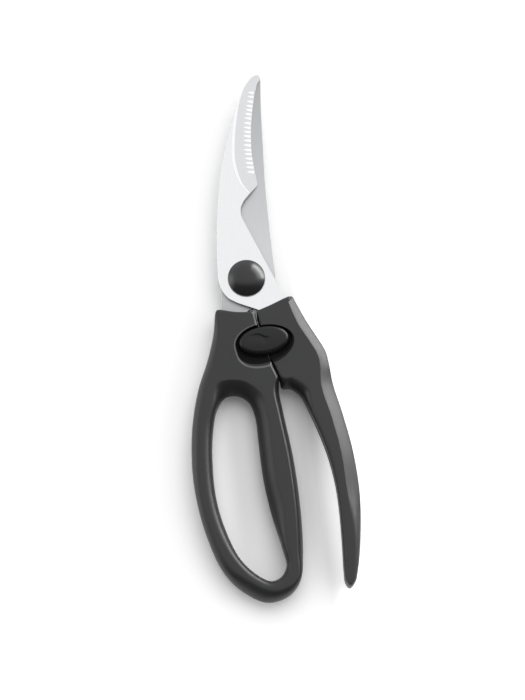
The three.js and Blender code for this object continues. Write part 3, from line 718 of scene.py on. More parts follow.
def place(tree, kind, inputs=None, **settings):
    """A node with its settings, whose inputs are given values or linked to sockets."""
    made = tree.nodes.new(kind)
    for key, value in settings.items():
        setattr(made, key, value)
    for name, value in (inputs or {}).items():
        if isinstance(value, bpy.types.NodeSocket):
            tree.links.new(value, made.inputs[name])
        else:
            made.inputs[name].default_value = value
    return made


def sums(tree, operation, *values):
    """The result of a math node on sockets and numbers."""
    return place(tree, "ShaderNodeMath", dict(enumerate(values)), operation=operation).outputs[0]


def spread(tree, value, low, high, start=0, end=1, smooth=False):
    """A number between start and end mapped to a range from low to high."""
    made = place(
        tree,
        "ShaderNodeMapRange",
        {"Value": value, "From Min": start, "From Max": end, "To Min": low, "To Max": high},
        interpolation_type="SMOOTHSTEP" if smooth else "LINEAR",
    )
    return made.outputs["Result"]


def object_axes(tree):
    """The X, Y and Z of a point in its object's space."""
    where = place(tree, "ShaderNodeTexCoord").outputs["Object"]
    return place(tree, "ShaderNodeSeparateXYZ", {"Vector": where}).outputs


def dimmed(tree, colour, level):
    """A colour multiplied by a level."""
    made = place(tree, "ShaderNodeVectorMath", {"Vector": colour, "Scale": level}, operation="SCALE")
    return made.outputs["Vector"]


def new_group(name, inputs, outputs):
    """An empty shader node group with named number inputs and outputs."""
    tree = bpy.data.node_groups.new(name, "ShaderNodeTree")
    for label, value in inputs.items():
        socket = tree.interface.new_socket(label, in_out="INPUT", socket_type="NodeSocketFloat")
        socket.default_value = value
    for label in outputs:
        tree.interface.new_socket(label, in_out="OUTPUT", socket_type="NodeSocketFloat")
    return tree, tree.nodes.new("NodeGroupInput").outputs, tree.nodes.new("NodeGroupOutput").inputs


def grain_group():
    """Fine moulded grain and wide mottling, in object space."""
    name = "Moulded Grain"
    if name in bpy.data.node_groups:
        return bpy.data.node_groups[name]
    tree, inputs, outputs = new_group(
        name, {"Grain Size": 0.0004, "Mottle Size": 0.012}, ["Height", "Mottle"]
    )
    where = place(tree, "ShaderNodeTexCoord").outputs["Object"]
    for label, size, detail in (("Height", "Grain Size", 2.0), ("Mottle", "Mottle Size", 4.0)):
        scale = sums(tree, "DIVIDE", 1.0, inputs[size])
        noise = place(
            tree,
            "ShaderNodeTexNoise",
            {"Vector": where, "Scale": scale, "Detail": detail, "Roughness": 0.55},
        )
        tree.links.new(noise.outputs["Fac"], outputs[label])
    return tree


def lines_group():
    """Fine ground lines: noise drawn out along one direction, in object space."""
    name = "Ground Lines"
    if name in bpy.data.node_groups:
        return bpy.data.node_groups[name]
    tree, inputs, outputs = new_group(
        name, {"Angle": 0.0, "Line Width": 0.0001, "Line Length": 0.006}, ["Height", "Streak"]
    )
    where = place(tree, "ShaderNodeTexCoord").outputs["Object"]
    turn = place(
        tree,
        "ShaderNodeVectorRotate",
        {"Vector": where, "Angle": inputs["Angle"]},
        rotation_type="Z_AXIS",
    )
    axes = place(tree, "ShaderNodeSeparateXYZ", {"Vector": turn.outputs[0]}).outputs
    along = sums(tree, "DIVIDE", axes["X"], inputs["Line Length"])
    for label, width in (("Height", 1.0), ("Streak", 9.0)):
        wide = sums(tree, "MULTIPLY", inputs["Line Width"], width)
        across = sums(tree, "DIVIDE", axes["Y"], wide)
        spot = place(tree, "ShaderNodeCombineXYZ", {"X": along, "Y": across, "Z": width})
        noise = place(
            tree,
            "ShaderNodeTexNoise",
            {"Vector": spot.outputs[0], "Scale": 1.0, "Detail": 3.0, "Roughness": 0.6},
        )
        tree.links.new(noise.outputs["Fac"], outputs[label])
    return tree


def wear_group():
    """A mask of the convex edges, where hands and cloths polish a piece."""
    name = "Edge Polish"
    if name in bpy.data.node_groups:
        return bpy.data.node_groups[name]
    tree, inputs, outputs = new_group(name, {"From": 0.51, "To": 0.6}, ["Mask"])
    bend = place(tree, "ShaderNodeNewGeometry").outputs["Pointiness"]
    mask = spread(tree, bend, 0, 1, inputs["From"], inputs["To"])
    tree.links.new(mask, outputs["Mask"])
    return tree


def use_group(tree, group, **values):
    """A node of a group with its own values. Underscores in their names stand for spaces."""
    made = place(tree, "ShaderNodeGroup", node_tree=group)
    for name, value in values.items():
        made.inputs[name.replace("_", " ")].default_value = value
    return made.outputs


def new_finish(name):
    """A material, its node tree and its Principled shader."""
    material = bpy.data.materials.new(name)
    material.use_nodes = True
    tree = material.node_tree
    return material, tree, tree.nodes["Principled BSDF"]


def tint(tree, amount, dark, light):
    """A colour between two, by an amount."""
    made = place(tree, "ShaderNodeMix", data_type="RGBA")
    tree.links.new(amount, made.inputs["Factor"])
    colours = [socket for socket in made.inputs if socket.type == "RGBA"]
    colours[0].default_value = (*dark, 1)
    colours[1].default_value = (*light, 1)
    return next(socket for socket in made.outputs if socket.type == "RGBA")


def scaled(colour, factor):
    """A colour made lighter or darker."""
    return tuple(min(1, part * factor) for part in colour)


def lay_on(tree, shader, colour, roughness, height, depth):
    """Gives a shader its colour, its roughness and bumps of some depth."""
    bump = place(tree, "ShaderNodeBump", {"Strength": 1.0, "Distance": depth, "Height": height})
    tree.links.new(colour, shader.inputs["Base Color"])
    tree.links.new(roughness, shader.inputs["Roughness"])
    tree.links.new(bump.outputs["Normal"], shader.inputs["Normal"])


def moulded_plastic(name, colour, roughness, grain_size, grain_depth, specular=0.5, coat=0):
    """Moulded plastic with fine grain, faint mottling and slightly polished edges."""
    mottle, vary, polish = 0.12, 0.03, 0.06
    material, tree, shader = new_finish(name)
    grain = use_group(tree, grain_group(), Grain_Size=grain_size)
    worn = use_group(tree, wear_group())["Mask"]
    base = tint(tree, grain["Mottle"], scaled(colour, 1 - mottle), scaled(colour, 1 + mottle))
    rough = spread(tree, grain["Mottle"], roughness - vary, roughness + vary)
    rough = sums(tree, "SUBTRACT", rough, sums(tree, "MULTIPLY", worn, polish))
    lay_on(tree, shader, base, rough, grain["Height"], grain_depth)
    shader.inputs["Specular IOR Level"].default_value = specular
    shader.inputs["Coat Weight"].default_value = coat
    return material


def lined_steel(
    name, colour, roughness, angle, width=0.00012, length=0.008, depth=0.000002, streak=0.05
):
    """Steel with fine lines left by grinding or drawing, along an angle in degrees."""
    material, tree, shader = new_finish(name)
    lines = use_group(
        tree,
        lines_group(),
        Angle=math.radians(-angle),
        Line_Width=width,
        Line_Length=length,
    )
    base = tint(tree, lines["Streak"], scaled(colour, 1 - streak), scaled(colour, 1 + streak))
    rough = spread(tree, lines["Streak"], roughness - streak, roughness + streak)
    lay_on(tree, shader, base, rough, lines["Height"], depth)
    shader.inputs["Metallic"].default_value = 1
    return material


def paint_shade_along(material, start, end, factor):
    """Paints shade on a material along Y, from nothing at the start to a factor at the end."""
    tree = material.node_tree
    colour = tree.nodes["Principled BSDF"].inputs["Base Color"]
    level = spread(tree, object_axes(tree)["Y"], 1, factor, start, end)
    tree.links.new(dimmed(tree, colour.links[0].from_socket, level), colour)


# Blades


def hollow(part):
    """How deep a hollow grind has gone at a share of its width."""
    return 1 - (1 - part) ** HOLLOW_POWER


def grind_tool(name, line, edge, face, keep, material):
    """The waste ground off one face of a blade, from the grind line out past the cutting edge."""
    before, past = -0.04, 1.5
    steps, span_steps = 14, 9
    depth = keep - face
    outside = face - math.copysign(2 * OVERSHOOT, depth)
    pieces = [span_steps] * (len(line) - 1)
    parts = [before] + [i / steps for i in range(steps + 1)]
    sections = []
    for start, end in zip(spline(line, pieces), spline(edge, pieces)):
        across = end - start
        near, far = start + across * before, start + across * past
        ground = [(*(start + across * part), face + depth * hollow(part)) for part in parts]
        sections.append([(*far, outside), (*near, outside), *ground, (*far, keep)])
    return loft(name, sections, material)


def groove_tools(settings, face, edge_thickness, material):
    """The tool for all serrations: round rods that fade out on their way in from the edge."""
    span_steps, run_out = 24, 1.5
    pieces = [span_steps] * (len(SERRATED_EDGE) - 1)
    edge, line = spline(SERRATED_EDGE, pieces), spline(GRIND_LINE, pieces)
    run = np.concatenate([[0], np.cumsum(np.linalg.norm(np.diff(edge, axis=0), axis=1))])
    radius = settings.groove_radius / MM
    deep = settings.groove_depth / MM
    depth = SERRATED_TOP - SERRATED_BOTTOM - edge_thickness
    tools = []
    for i in range(settings.groove_count):
        taper = 1 - GROOVE_TAPER * (i / settings.groove_count) ** 2
        reach = settings.groove_length / MM * taper
        distance = (settings.groove_start + i * settings.groove_pitch) / MM
        spot = int(np.argmin(np.abs(run - distance)))
        way = line[spot] - edge[spot]
        width = np.linalg.norm(way)
        fade = depth * (1 - hollow(1 - reach / width))
        rise = (deep + fade) / reach
        step = Vector((*(way / width), rise))
        middle = Vector((*edge[spot], face + edge_thickness - deep + radius))
        tools.append(rod("groove", middle - step * reach, middle + step * run_out * reach, radius))
    whole = tools[0]
    work = bmesh.new()
    for tool in tools:
        work.from_mesh(tool.data)
    work.to_mesh(whole.data)
    work.free()
    for tool in tools[1:]:
        bpy.data.objects.remove(tool)
    whole.data.materials.append(material)
    return whole


def stamped_blade(node, outline, face_steel, side_steel):
    """A blade stamped from sheet, with its bore for the bolt."""
    rows = trace(outline, BLADE_SPACING, STAMPED, corner=1)
    blade = slab(node, [rows], steps=3, material=face_steel, wall_material=side_steel)
    bottom, top = levels(node)
    cut(blade, rod("bore", (0, 0, bottom - OVERSHOOT), (0, 0, top + OVERSHOOT), BOLT_BORE_RADIUS))
    return blade


class SHEARS_OT_blades(bpy.types.Operator):
    """Make the serrated blade and the plain blade"""

    bl_idname = "game_shears.blades"
    bl_label = "Blades"

    def execute(self, context):
        settings = context.scene.game_shears.blades
        bright_colour, plain_colour = settings.bright_colour, settings.plain_colour
        bright = lined_steel("bright_steel", bright_colour, 0.27, 90, depth=0.000001, streak=0.025)
        ground = lined_steel("hollow_ground_steel", settings.ground_colour, 0.22, 12)
        # The grooves and the grind's border are glossier and lighter copies of the bright steel: real
        # polish, and a painted highlight in their colour
        polished = lined_steel("groove_steel_painted_highlight", scaled(bright_colour, 1.22), 0.2, 12)
        border_painted_highlight = lined_steel("border_steel_painted_highlight", scaled(bright_colour, 1.11), 0.2, 12)
        plain = lined_steel("plain_steel", plain_colour, 0.36, 90)
        # Painted shade on the plain blade: darker towards its tip, standing in for its dimmer
        # reflection there, and darker near the pivot, where the serrated blade and the handle's dark
        # wall shade it
        paint_shade_along(plain, start=0.015, end=0.1, factor=0.7)
        paint_shade_along(plain, start=0.005, end=-0.014, factor=0.74)
        # The blades' upright sides are rougher, and their colour is halved: painted shade along the
        # blades' edges
        sheared_and_painted_shade = lined_steel("sheared_steel", scaled(plain_colour, 0.5), 0.5, 90)
        left = settings.edge_thickness / MM

        blade = stamped_blade("serrated_blade", SERRATED_OUTLINE, bright, sheared_and_painted_shade)
        keep = SERRATED_BOTTOM + left
        cut(
            blade,
            grind_tool("hollow_grind", GRIND_LINE, SERRATED_EDGE, SERRATED_TOP, keep, ground),
        )
        # The border is widest in the middle of the grind line and narrows to both its ends
        line = GRIND_LINE[1:]
        border = []
        for i, (x, y) in enumerate(line):
            swell = math.sin(math.pi * (i + 0.7) / (len(line) + 0.4))
            border.append((x - BORDER_WIDTH * swell, y - BORDER_SHIFT))
        keep = SERRATED_TOP - BORDER_DEPTH
        cut(
            blade,
            groove_tools(settings, SERRATED_BOTTOM, left, polished),
            grind_tool("polished_border", border, line, SERRATED_TOP, keep, border_painted_highlight),
        )
        shade(blade, 14)
        dress(blade, "open_half", "bright_steel", "serrated_blade")

        blade = stamped_blade("plain_blade", PLAIN_OUTLINE, plain, sheared_and_painted_shade)
        width = settings.bevel_width / MM
        line = [(x + width, y + BEVEL_SHIFT) for x, y in PLAIN_EDGE]
        keep = PLAIN_TOP - left
        cut(blade, grind_tool("plain_bevel", line, PLAIN_EDGE, PLAIN_BOTTOM, keep, ground))
        shade(blade, 14)
        dress(blade, "loop_half", "plain_steel", "plain_blade")
        return {"FINISHED"}


# Handles


def to_lock(settings, spots):
    """Places points drawn round the lever's axis, with the lever along -X."""
    turn = Matrix.Rotation(settings.tilt, 3, "Z")
    shift = Vector((settings.pivot[0], settings.pivot[1], 0)) / MM
    return [turn @ Vector(spot) + shift for spot in spots]


def swept_outline(settings, margin):
    """The outline of the room that the lever sweeps, wider all round by a margin."""
    radii = np.array([settings.length, settings.width]) / (2 * MM) + margin
    centre = np.array([-settings.centre / MM, 0])

    def turned(spot, angle):
        c, s = math.cos(angle), math.sin(angle)
        return np.array([c * spot[0] - s * spot[1], s * spot[0] + c * spot[1]])

    swings = np.linspace(0, settings.swing, 17)
    middle = turned(centre, settings.swing / 2)
    outline = []
    for angle in turns(128):
        way = np.array([math.cos(angle), math.sin(angle)])
        reach = 0
        for swing in swings:
            start = (turned(middle, -swing) - centre) / radii
            step = turned(way, -swing) / radii
            a, b, c = step @ step, start @ step, start @ start - 1
            reach = max(reach, (math.sqrt(b * b - a * c) - b) / a)
        outline.append(middle + reach * way)
    return np.array(outline)


def recess_tool(settings, lip, floor, slope, edge):
    """The recess for the lever: upright walls, a sloped lip that leans to one side, and its edge.

    The last three values are the materials of its floor and walls, its lip and the lip's edge.
    """
    round_drop, round_reach = 0.45 * lip.edge_drop, 0.4 * lip.edge_reach
    sections = []
    for height, extra in (
        (RECESS_FLOOR, 0),
        (HANDLE_TOP - lip.depth, 0),
        (HANDLE_TOP - lip.edge_drop, 0),
        (HANDLE_TOP - round_drop, round_reach),
        (HANDLE_TOP, lip.edge_reach),
        (HANDLE_TOP + OVERSHOOT, OVERSHOOT + lip.edge_reach),
    ):
        rise = max(0, height - HANDLE_TOP + lip.depth) / lip.depth
        margin = LEVER_CLEARANCE + lip.flare * rise + extra
        outline = swept_outline(settings, margin) + rise * np.array(lip.lean)
        sections.append(to_lock(settings, [(x, y, height) for x, y in outline]))
    tool = loft("recess", sections)
    for finish in (floor, slope, edge):
        tool.data.materials.append(finish)
    for face in tool.data.polygons:
        depth = HANDLE_TOP - face.center.z / MM
        face.material_index = int(depth < lip.depth) + int(depth < lip.edge_drop)
    return tool


def spring_place(settings):
    """The spring's matrix, from along X at the origin to its place, in millimetres."""
    shift = Matrix.Translation(Vector((0, -settings.distance, settings.height)) / MM)
    return Matrix.Rotation(settings.angle, 4, "Z") @ shift


def pocket_tool(settings):
    """The bore in both handles that the opening spring sits in."""
    end = settings.length / (2 * MM) + SPRING_CLEARANCE
    matrix = spring_place(settings)
    foot, head = matrix @ Vector((-end, 0, 0)), matrix @ Vector((end, 0, 0))
    return rod("pocket", foot, head, settings.diameter / (2 * MM) + SPRING_CLEARANCE)


def tang_tool(node, outline):
    """The slot that a blade's tang is moulded into."""
    rows = trace(outline, SLOT_SPACING, Rim(-TANG_CLEARANCE, 0, 2), corner=1)
    bottom, top = levels(node)
    ends = (bottom - TANG_CLEARANCE, top + TANG_CLEARANCE)
    return loft("slot", [[(x, y, z) for x, y in rows[:, 2:4]] for z in ends])


class SHEARS_OT_handles(bpy.types.Operator):
    """Make the loop handle and the open handle"""

    bl_idname = "game_shears.handles"
    bl_label = "Handles"

    def execute(self, context):
        shears = context.scene.game_shears
        settings = shears.handles
        size, depth = settings.grain_size, settings.grain_depth
        # The recess's floor and walls are a darker, matte copy of the handle plastic: painted shade
        # in the recess
        dark, light = scaled(settings.colour, 0.5), scaled(settings.colour, 2)
        plastic = moulded_plastic("black_plastic", settings.colour, 0.42, size, depth)
        recess_painted_shade = moulded_plastic("recess_plastic_painted_shade", dark, 0.6, size, 0.00003, specular=0.15)
        # The loop handle's lip edge is a glossier copy of the plastic at twice its colour: real
        # gloss, and a painted highlight in its colour
        polished = moulded_plastic(
            "edge_plastic_painted_highlight", light, 0.3, size, 0.000005, specular=1.0, coat=0.5
        )
        rows = [trace(LOOP_OUTLINE, HANDLE_SPACING, corner=1), trace(LOOP_HOLE, HANDLE_SPACING)]
        handle = slab("loop_handle", rows, steps=12, material=plastic)
        cut(
            handle,
            recess_tool(shears.lock, LOOP_LIP, recess_painted_shade, plastic, polished),
            pocket_tool(shears.spring),
            tang_tool("plain_blade", PLAIN_OUTLINE),
        )
        shade(handle, 32)
        dress(handle, "loop_half", "black_plastic", "loop_handle")

        rows = [trace(OPEN_OUTLINE, HANDLE_SPACING, corner=1)]
        handle = slab("open_handle", rows, steps=12, material=plastic)
        x, y = (part / MM for part in shears.lock.pivot)
        below, hole_top = -OVERSHOOT, RECESS_FLOOR + OVERSHOOT
        # The recess here too has the painted shade of the darker matte plastic
        cut(
            handle,
            recess_tool(shears.lock, OPEN_LIP, recess_painted_shade, plastic, plastic),
            pocket_tool(shears.spring),
            tang_tool("serrated_blade", SERRATED_OUTLINE),
            rod("screw_hole", (x, y, below), (x, y, hole_top), SCREW_HOLE_RADIUS),
            rod("washer_seat", (x, y, below), (x, y, WASHER_SEAT_HEIGHT), WASHER_SEAT_RADIUS),
        )
        shade(handle, 32)
        dress(handle, "open_half", "black_plastic", "open_handle")
        return {"FINISHED"}


# Pivot caps


class SHEARS_OT_caps(bpy.types.Operator):
    """Make the domed front cap and the flat rear cap of the pivot"""

    bl_idname = "game_shears.caps"
    bl_label = "Pivot Caps"

    def execute(self, context):
        settings = context.scene.game_shears.pivot
        plastic = moulded_plastic("gloss_black_plastic", settings.colour, 0.24, 0.0003, 0.000004)
        radius = settings.cap_diameter / (2 * MM)
        shoulder = CAP_BOTTOM + settings.cap_rim / MM
        middle, chamfer = 1e-3, 0.2
        dome_steps, dome_power = 24, 2.3
        profile = [
            (middle, CAP_BOTTOM), (radius - chamfer, CAP_BOTTOM), (radius, CAP_BOTTOM + chamfer)
        ]
        for step in range(dome_steps + 1):
            share = max(1 - step / dome_steps, 1e-4)
            rise = (CAP_TOP - shoulder) * (1 - share**dome_power)
            profile.append((radius * share, shoulder + rise))
        cap = lathe("front_cap_plastic", profile, plastic)
        shade(cap, 35)
        dress(cap, "loop_half", "gloss_black_plastic", "front_cap")

        edge, edge_steps = 1.0, 8
        profile = [(middle, 0)]
        for angle in quarter(edge_steps):
            profile.append((radius - edge + edge * math.sin(angle), edge - edge * math.cos(angle)))
        profile += [
            (radius, REAR_CAP_TOP - chamfer), (radius - chamfer, REAR_CAP_TOP), (middle, REAR_CAP_TOP)
        ]
        cap = lathe("rear_cap_plastic", profile, plastic)
        shade(cap, 35)
        dress(cap, "loop_half", "gloss_black_plastic", "rear_cap")
        return {"FINISHED"}


# Thumb lever

LEVER_CROWN, LEVER_BANK = 0.5, 0.75
# The S of the thumb bank: its middle across the lever, its sway, where it turns and how gently
BANK_PLACE, BANK_SWAY, BANK_TURN, BANK_EASE = 2.0, 1.25, -0.6, 1.6
# Where the bank lies along the lever, how steeply it drops and how far off it rises again
BANK_MIDDLE, BANK_HALF_LENGTH, BANK_STEEPNESS, BANK_WIDTH = -2.8, 5, 5, 3.2


def lever_height(x, y, share):
    """Height of the lever's top above its rim: a low crown with a shallow thumb bank across it.

    The bank drops along an S, rises again below it and fades out at both its ends.
    """
    bank = BANK_PLACE - BANK_SWAY * math.tanh((x - BANK_TURN) / BANK_EASE)
    window = math.exp(-(((x - BANK_MIDDLE) / BANK_HALF_LENGTH) ** 4))
    drop = 1 / (1 + math.exp((y - bank) * BANK_STEEPNESS))
    rise = math.exp(-(((bank - y) / BANK_WIDTH) ** 2)) if y < bank else 1
    return LEVER_CROWN * (1 - share**2) - LEVER_BANK * window * drop * rise * (1 - share**4)


class SHEARS_OT_lever(bpy.types.Operator):
    """Make the oval thumb lever of the lock"""

    bl_idname = "game_shears.lever"
    bl_label = "Thumb Lever"

    def execute(self, context):
        settings = context.scene.game_shears.lock
        plastic = moulded_plastic(
            "lever_plastic", settings.colour, 0.34, 0.0003, 0.000008, specular=0.29
        )
        half_length, half_width = settings.length / (2 * MM), settings.width / (2 * MM)
        centre = settings.centre / MM
        chamfer, draft, reach, fall = 0.2, 0.6, 2.1, 1.5
        edge_steps, top_steps, segments = 6, 40, 128
        rim = BUTTON_TOP - LEVER_CROWN
        rings = [(chamfer, BUTTON_BOTTOM, None), (0, BUTTON_BOTTOM + chamfer, None)]
        for angle in quarter(edge_steps):
            inset = draft + reach * (1 - math.cos(angle))
            rings.append((inset, rim - fall * (1 - math.sin(angle)), None))
        for step in range(1, top_steps + 1):
            rings.append((draft + reach, rim, 1 - step / top_steps))
        sections = []
        for inset, height, share in rings:
            ring = []
            for angle in turns(segments):
                x = (half_length - inset) * math.cos(angle)
                y = (half_width - inset) * math.sin(angle)
                if share is not None:
                    part = max(share, 1e-3)
                    x, y = x * part, y * part
                    ring.append((x - centre, y, height + lever_height(x, y, share)))
                else:
                    ring.append((x - centre, y, height))
            sections.append(to_lock(settings, ring))
        lever = loft("thumb_lever_plastic", sections, plastic)
        shade(lever, 40)
        dress(lever, "lock", "gloss_black_plastic", "lock_button")
        return {"FINISHED"}


# Spring and fasteners


class SHEARS_OT_spring(bpy.types.Operator):
    """Make the opening spring, at its length when the handles are closed"""

    bl_idname = "game_shears.spring"
    bl_label = "Opening Spring"

    def execute(self, context):
        settings = context.scene.game_shears.spring
        steel = lined_steel("spring_steel", settings.colour, 0.3, 0, width=0.00008, length=0.002)
        wire = settings.wire / (2 * MM)
        radius = settings.diameter / (2 * MM) - wire
        length = settings.length / MM - 2 * wire
        matrix = spring_place(settings)
        sides, steps = 12, settings.curls * 36
        along = Vector((1, 0, 0))
        sections = []
        for step in range(steps + 1):
            share = step / steps
            angle = share * settings.curls * 2 * math.pi
            out = Vector((0, math.cos(angle), math.sin(angle)))
            middle = along * (share - 0.5) * length + out * radius
            ring = []
            for turn in turns(sides):
                spot = middle + wire * (math.cos(turn) * out + math.sin(turn) * along)
                ring.append(matrix @ spot)
            sections.append(ring)
        spring = loft("opening_spring_wire", sections, steel)
        shade(spring, 50)
        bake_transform(spring)
        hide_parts("opening_spring")
        return {"FINISHED"}


class SHEARS_OT_fasteners(bpy.types.Operator):
    """Finish the bolt, nut, washers, screw, hook plate and keeper that come with the frame"""

    bl_idname = "game_shears.fasteners"
    bl_label = "Fasteners"

    def execute(self, context):
        settings = context.scene.game_shears.spring
        zinc = lined_steel("zinc_steel", settings.zinc_colour, 0.34, 30, width=0.0001, length=0.002)
        dished = lined_steel("washer_steel", settings.colour, 0.3, 60, width=0.0001, length=0.003)
        plated = (
            "pivot_bolt", "pivot_nut", "blade_washer", "lock_plate",
            "lock_screw", "lock_washer", "keeper_tab",
        )
        finishes = {"spring_washer": dished, **dict.fromkeys(plated, zinc)}
        for name, finish in finishes.items():
            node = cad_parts[name]
            node.data.materials.clear()
            node.data.materials.append(finish)
            bevel = node.modifiers.new("broken edges", "BEVEL")
            bevel.width = 0.00006
            bevel.segments = 2
            bevel.angle_limit = math.radians(40)
        return {"FINISHED"}


# Stage


def new_lamp(name, kind, way, target, **values):
    """A lamp that stands off from the target in one direction and faces it."""
    lamp = bpy.data.lights.new(name, kind)
    for key, value in values.items():
        setattr(lamp, key, value)
    obj = bpy.data.objects.new(name, lamp)
    bpy.context.scene.collection.objects.link(obj)
    way = Vector(way)
    obj.location = target + way
    obj.rotation_euler = way.to_track_quat("Z", "Y").to_euler()
    return obj


def studio_world(settings):
    """A white room, with one light for surfaces and another for what shows in reflections."""
    world = bpy.data.worlds.new("studio")
    world.use_nodes = True
    tree = world.node_tree
    tree.nodes.clear()
    rays = place(tree, "ShaderNodeLightPath").outputs
    way = place(tree, "ShaderNodeTexCoord").outputs["Generated"]
    axes = place(tree, "ShaderNodeSeparateXYZ", {"Vector": way}).outputs

    # Reflections are bright above and beyond the tips, dark in front, with a strip far to the left
    bright_way = Vector((0, 0.9, 0.43))
    facing = place(tree, "ShaderNodeVectorMath", {0: way, 1: bright_way}, operation="DOT_PRODUCT")
    glow = spread(tree, facing.outputs["Value"], 0.14, 1.1, start=-0.25, end=0.3, smooth=True)
    strip = spread(tree, axes["X"], 0, 2.2, start=-0.85, end=-1)
    shine = sums(tree, "ADD", glow, strip)

    # Surfaces get most light from low down, from both sides, and from beyond the tips
    aside = sums(tree, "MULTIPLY", axes["X"], sums(tree, "ADD", axes["X"], 0.22))
    ahead = sums(tree, "MULTIPLY_ADD", axes["Y"], 0.25, 0.55)
    share = sums(tree, "MULTIPLY_ADD", aside, 0.9, ahead)
    level = sums(tree, "MULTIPLY", spread(tree, axes["Z"], 1.7, 0.65), share)
    level = sums(tree, "MULTIPLY", level, settings.ambient)

    mirrored = sums(tree, "MAXIMUM", rays["Is Glossy Ray"], rays["Is Transmission Ray"])
    lit, shown, backdrop = (
        place(tree, "ShaderNodeBackground", {"Color": (1, 1, 1, 1), "Strength": strength}).outputs[0]
        for strength in (level, shine, 1.0)
    )
    light = place(tree, "ShaderNodeMixShader", {0: mirrored, 1: lit, 2: shown}).outputs[0]
    seen = place(tree, "ShaderNodeMixShader", {0: rays["Is Camera Ray"], 1: light, 2: backdrop})
    place(tree, "ShaderNodeOutputWorld", {"Surface": seen.outputs[0]})
    return world


def paper_with_painted_shade_and_light(settings):
    """Paper with painted shade round the bar of the loop, and painted light to the right of it, where
    it glows for the camera alone.
    """
    paper, tree, shader = new_finish("paper_with_painted_shade_and_light")
    grain = use_group(tree, grain_group(), Grain_Size=0.002, Mottle_Size=0.4)
    colour = settings.floor_colour
    base = tint(tree, grain["Mottle"], scaled(colour, 0.995), scaled(colour, 1.005))
    axes = object_axes(tree)
    bar_slope, painted_shade_level, painted_glow_right = 0.1235, 0.79, 0.5
    aside = sums(tree, "MULTIPLY_ADD", axes["Y"], bar_slope, axes["X"])
    # The pool of painted shade fades out at its left and right edges, at its top and at its foot
    painted_shade = 1.0
    for value, start, end in (
        (aside, -0.0235, -0.0135),
        (aside, 0.0235, 0.0155),
        (axes["Y"], -0.045, -0.06),
        (axes["Y"], -0.15, -0.1),
    ):
        painted_shade = sums(tree, "MULTIPLY", painted_shade, spread(tree, value, 0, 1, start, end, smooth=True))
    base = dimmed(tree, base, spread(tree, painted_shade, 1, painted_shade_level))
    tree.links.new(base, shader.inputs["Base Color"])
    shader.inputs["Roughness"].default_value = 0.9
    shader.inputs["Specular IOR Level"].default_value = 0.0

    rays = place(tree, "ShaderNodeLightPath").outputs
    seen = sums(tree, "MAXIMUM", rays["Is Camera Ray"], rays["Is Glossy Ray"])
    seen = sums(tree, "MAXIMUM", seen, rays["Is Transmission Ray"])
    glow = spread(tree, seen, 0, settings.floor_glow)
    # Painted light: to the right of the bar the paper glows for the camera alone
    gain = spread(tree, aside, 0, painted_glow_right, start=0.0205, end=0.03, smooth=True)
    glow = sums(tree, "MULTIPLY_ADD", gain, rays["Is Camera Ray"], glow)
    tree.links.new(glow, shader.inputs["Emission Strength"])
    shader.inputs["Emission Color"].default_value = (1, 1, 1, 1)
    return paper


def add_lamps(settings, target):
    """The key light, two cards that the blades don't get, and one that only the blades get."""
    key = new_lamp(
        "key_light",
        "SUN",
        (0.12, 0.48, 0.85),
        target,
        energy=settings.key_power,
        angle=math.radians(55),
    )
    key.visible_glossy = False
    blades = bpy.data.collections.new("blades alone")
    others = bpy.data.collections.new("all but the blades")
    for name in ("serrated_blade_shape", "plain_blade_shape"):
        blades.objects.link(bpy.data.objects[name])
        others.objects.link(bpy.data.objects[name])
    for entry in others.collection_objects:
        entry.light_linking.link_state = "EXCLUDE"
    for name, way, width, height, linked in (
        ("side_card", (0.47, 0.43, 0.12), 0.7, 0.2, others),
        ("high_card", (0.45, 0.37, 0.33), 0.7, 0.22, others),
        ("rear_card", (0, -0.8, 0.6), 3, 1.2, blades),
    ):
        card = new_lamp(
            name,
            "AREA",
            way,
            target,
            energy=getattr(settings, name),
            shape="RECTANGLE",
            size=width,
            size_y=height,
        )
        card.visible_camera = False
        card.visible_diffuse = False
        card.light_linking.receiver_collection = linked


def add_camera(settings, target):
    """A long lens above the shears that leans back from straight down."""
    lens = bpy.data.cameras.new("camera")
    lens.lens = 100
    lens.sensor_width = 36
    lens.clip_start = 0.01
    camera = bpy.data.objects.new("camera", lens)
    bpy.context.scene.collection.objects.link(camera)
    back = Vector((0, -math.sin(settings.tilt), math.cos(settings.tilt)))
    camera.location = target + back * settings.distance
    camera.rotation_euler = back.to_track_quat("Z", "Y").to_euler()
    return camera


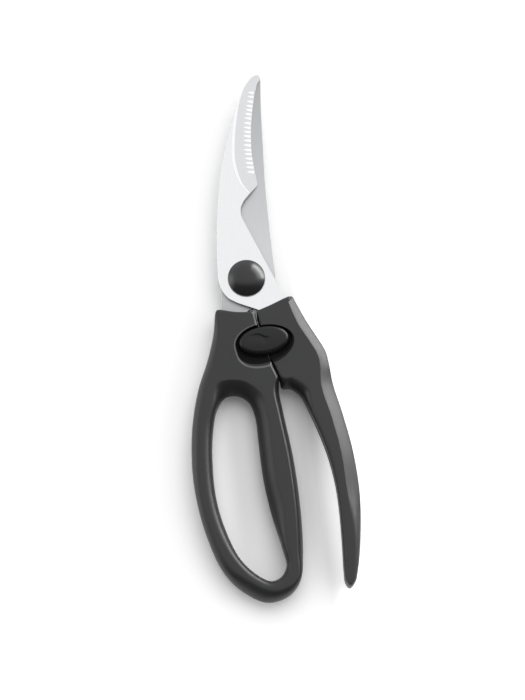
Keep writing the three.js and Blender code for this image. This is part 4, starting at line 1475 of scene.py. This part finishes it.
class SHEARS_OT_stage(bpy.types.Operator):
    """Make the floor, the light, the world and the camera"""

    bl_idname = "game_shears.stage"
    bl_label = "Stage"

    def execute(self, context):
        scene = context.scene
        settings = scene.game_shears.stage
        target = Vector(settings.target)
        half, drop = 4000, 0.00005
        corners = [(-half, -half, 0), (half, -half, 0), (half, half, 0), (-half, half, 0)]
        floor = new_piece("floor", corners, [(0, 1, 2, 3)], paper_with_painted_shade_and_light(settings))
        floor.location.z = -drop
        scene.world = studio_world(settings)
        add_lamps(settings, target)
        scene.camera = add_camera(settings, target)
        scene.view_settings.view_transform = "Standard"
        return {"FINISHED"}


# Sidebar


class SHEARS_PT_panel(bpy.types.Panel):
    """Lists the pieces of the shears and what they are made from"""

    bl_idname = "SHEARS_PT_panel"
    bl_label = "Game Shears"
    bl_space_type = "VIEW_3D"
    bl_region_type = "UI"
    bl_category = "Game Shears"

    def draw(self, context):
        settings = context.scene.game_shears
        for group, operators in PARTS.items():
            box = self.layout.box()
            for operator in operators:
                box.operator(operator.bl_idname)
            values = getattr(settings, group)
            for name in values.bl_rna.properties.keys():
                if name not in ("rna_type", "name"):
                    box.prop(values, name)


PARTS = {
    "blades": [SHEARS_OT_blades],
    "handles": [SHEARS_OT_handles],
    "pivot": [SHEARS_OT_caps],
    "lock": [SHEARS_OT_lever],
    "spring": [SHEARS_OT_spring, SHEARS_OT_fasteners],
    "stage": [SHEARS_OT_stage],
}
OPERATORS = [operator for operators in PARTS.values() for operator in operators]
CLASSES = [
    BladeSettings,
    HandleSettings,
    PivotSettings,
    LockSettings,
    SpringSettings,
    StageSettings,
    ShearsSettings,
    *OPERATORS,
    SHEARS_PT_panel,
]


def register():
    """Adds the classes, and the settings to the scene."""
    for cls in CLASSES:
        bpy.utils.register_class(cls)
    bpy.types.Scene.game_shears = PointerProperty(type=ShearsSettings)


def unregister():
    """Takes the settings and the classes away again."""
    del bpy.types.Scene.game_shears
    for cls in reversed(CLASSES):
        bpy.utils.unregister_class(cls)


def main():
    """Makes all pieces and the stage."""
    register()
    for operator in OPERATORS:
        name = operator.bl_idname.split(".")[1]
        getattr(bpy.ops.game_shears, name)()


if __name__ == "__main__":
    main()
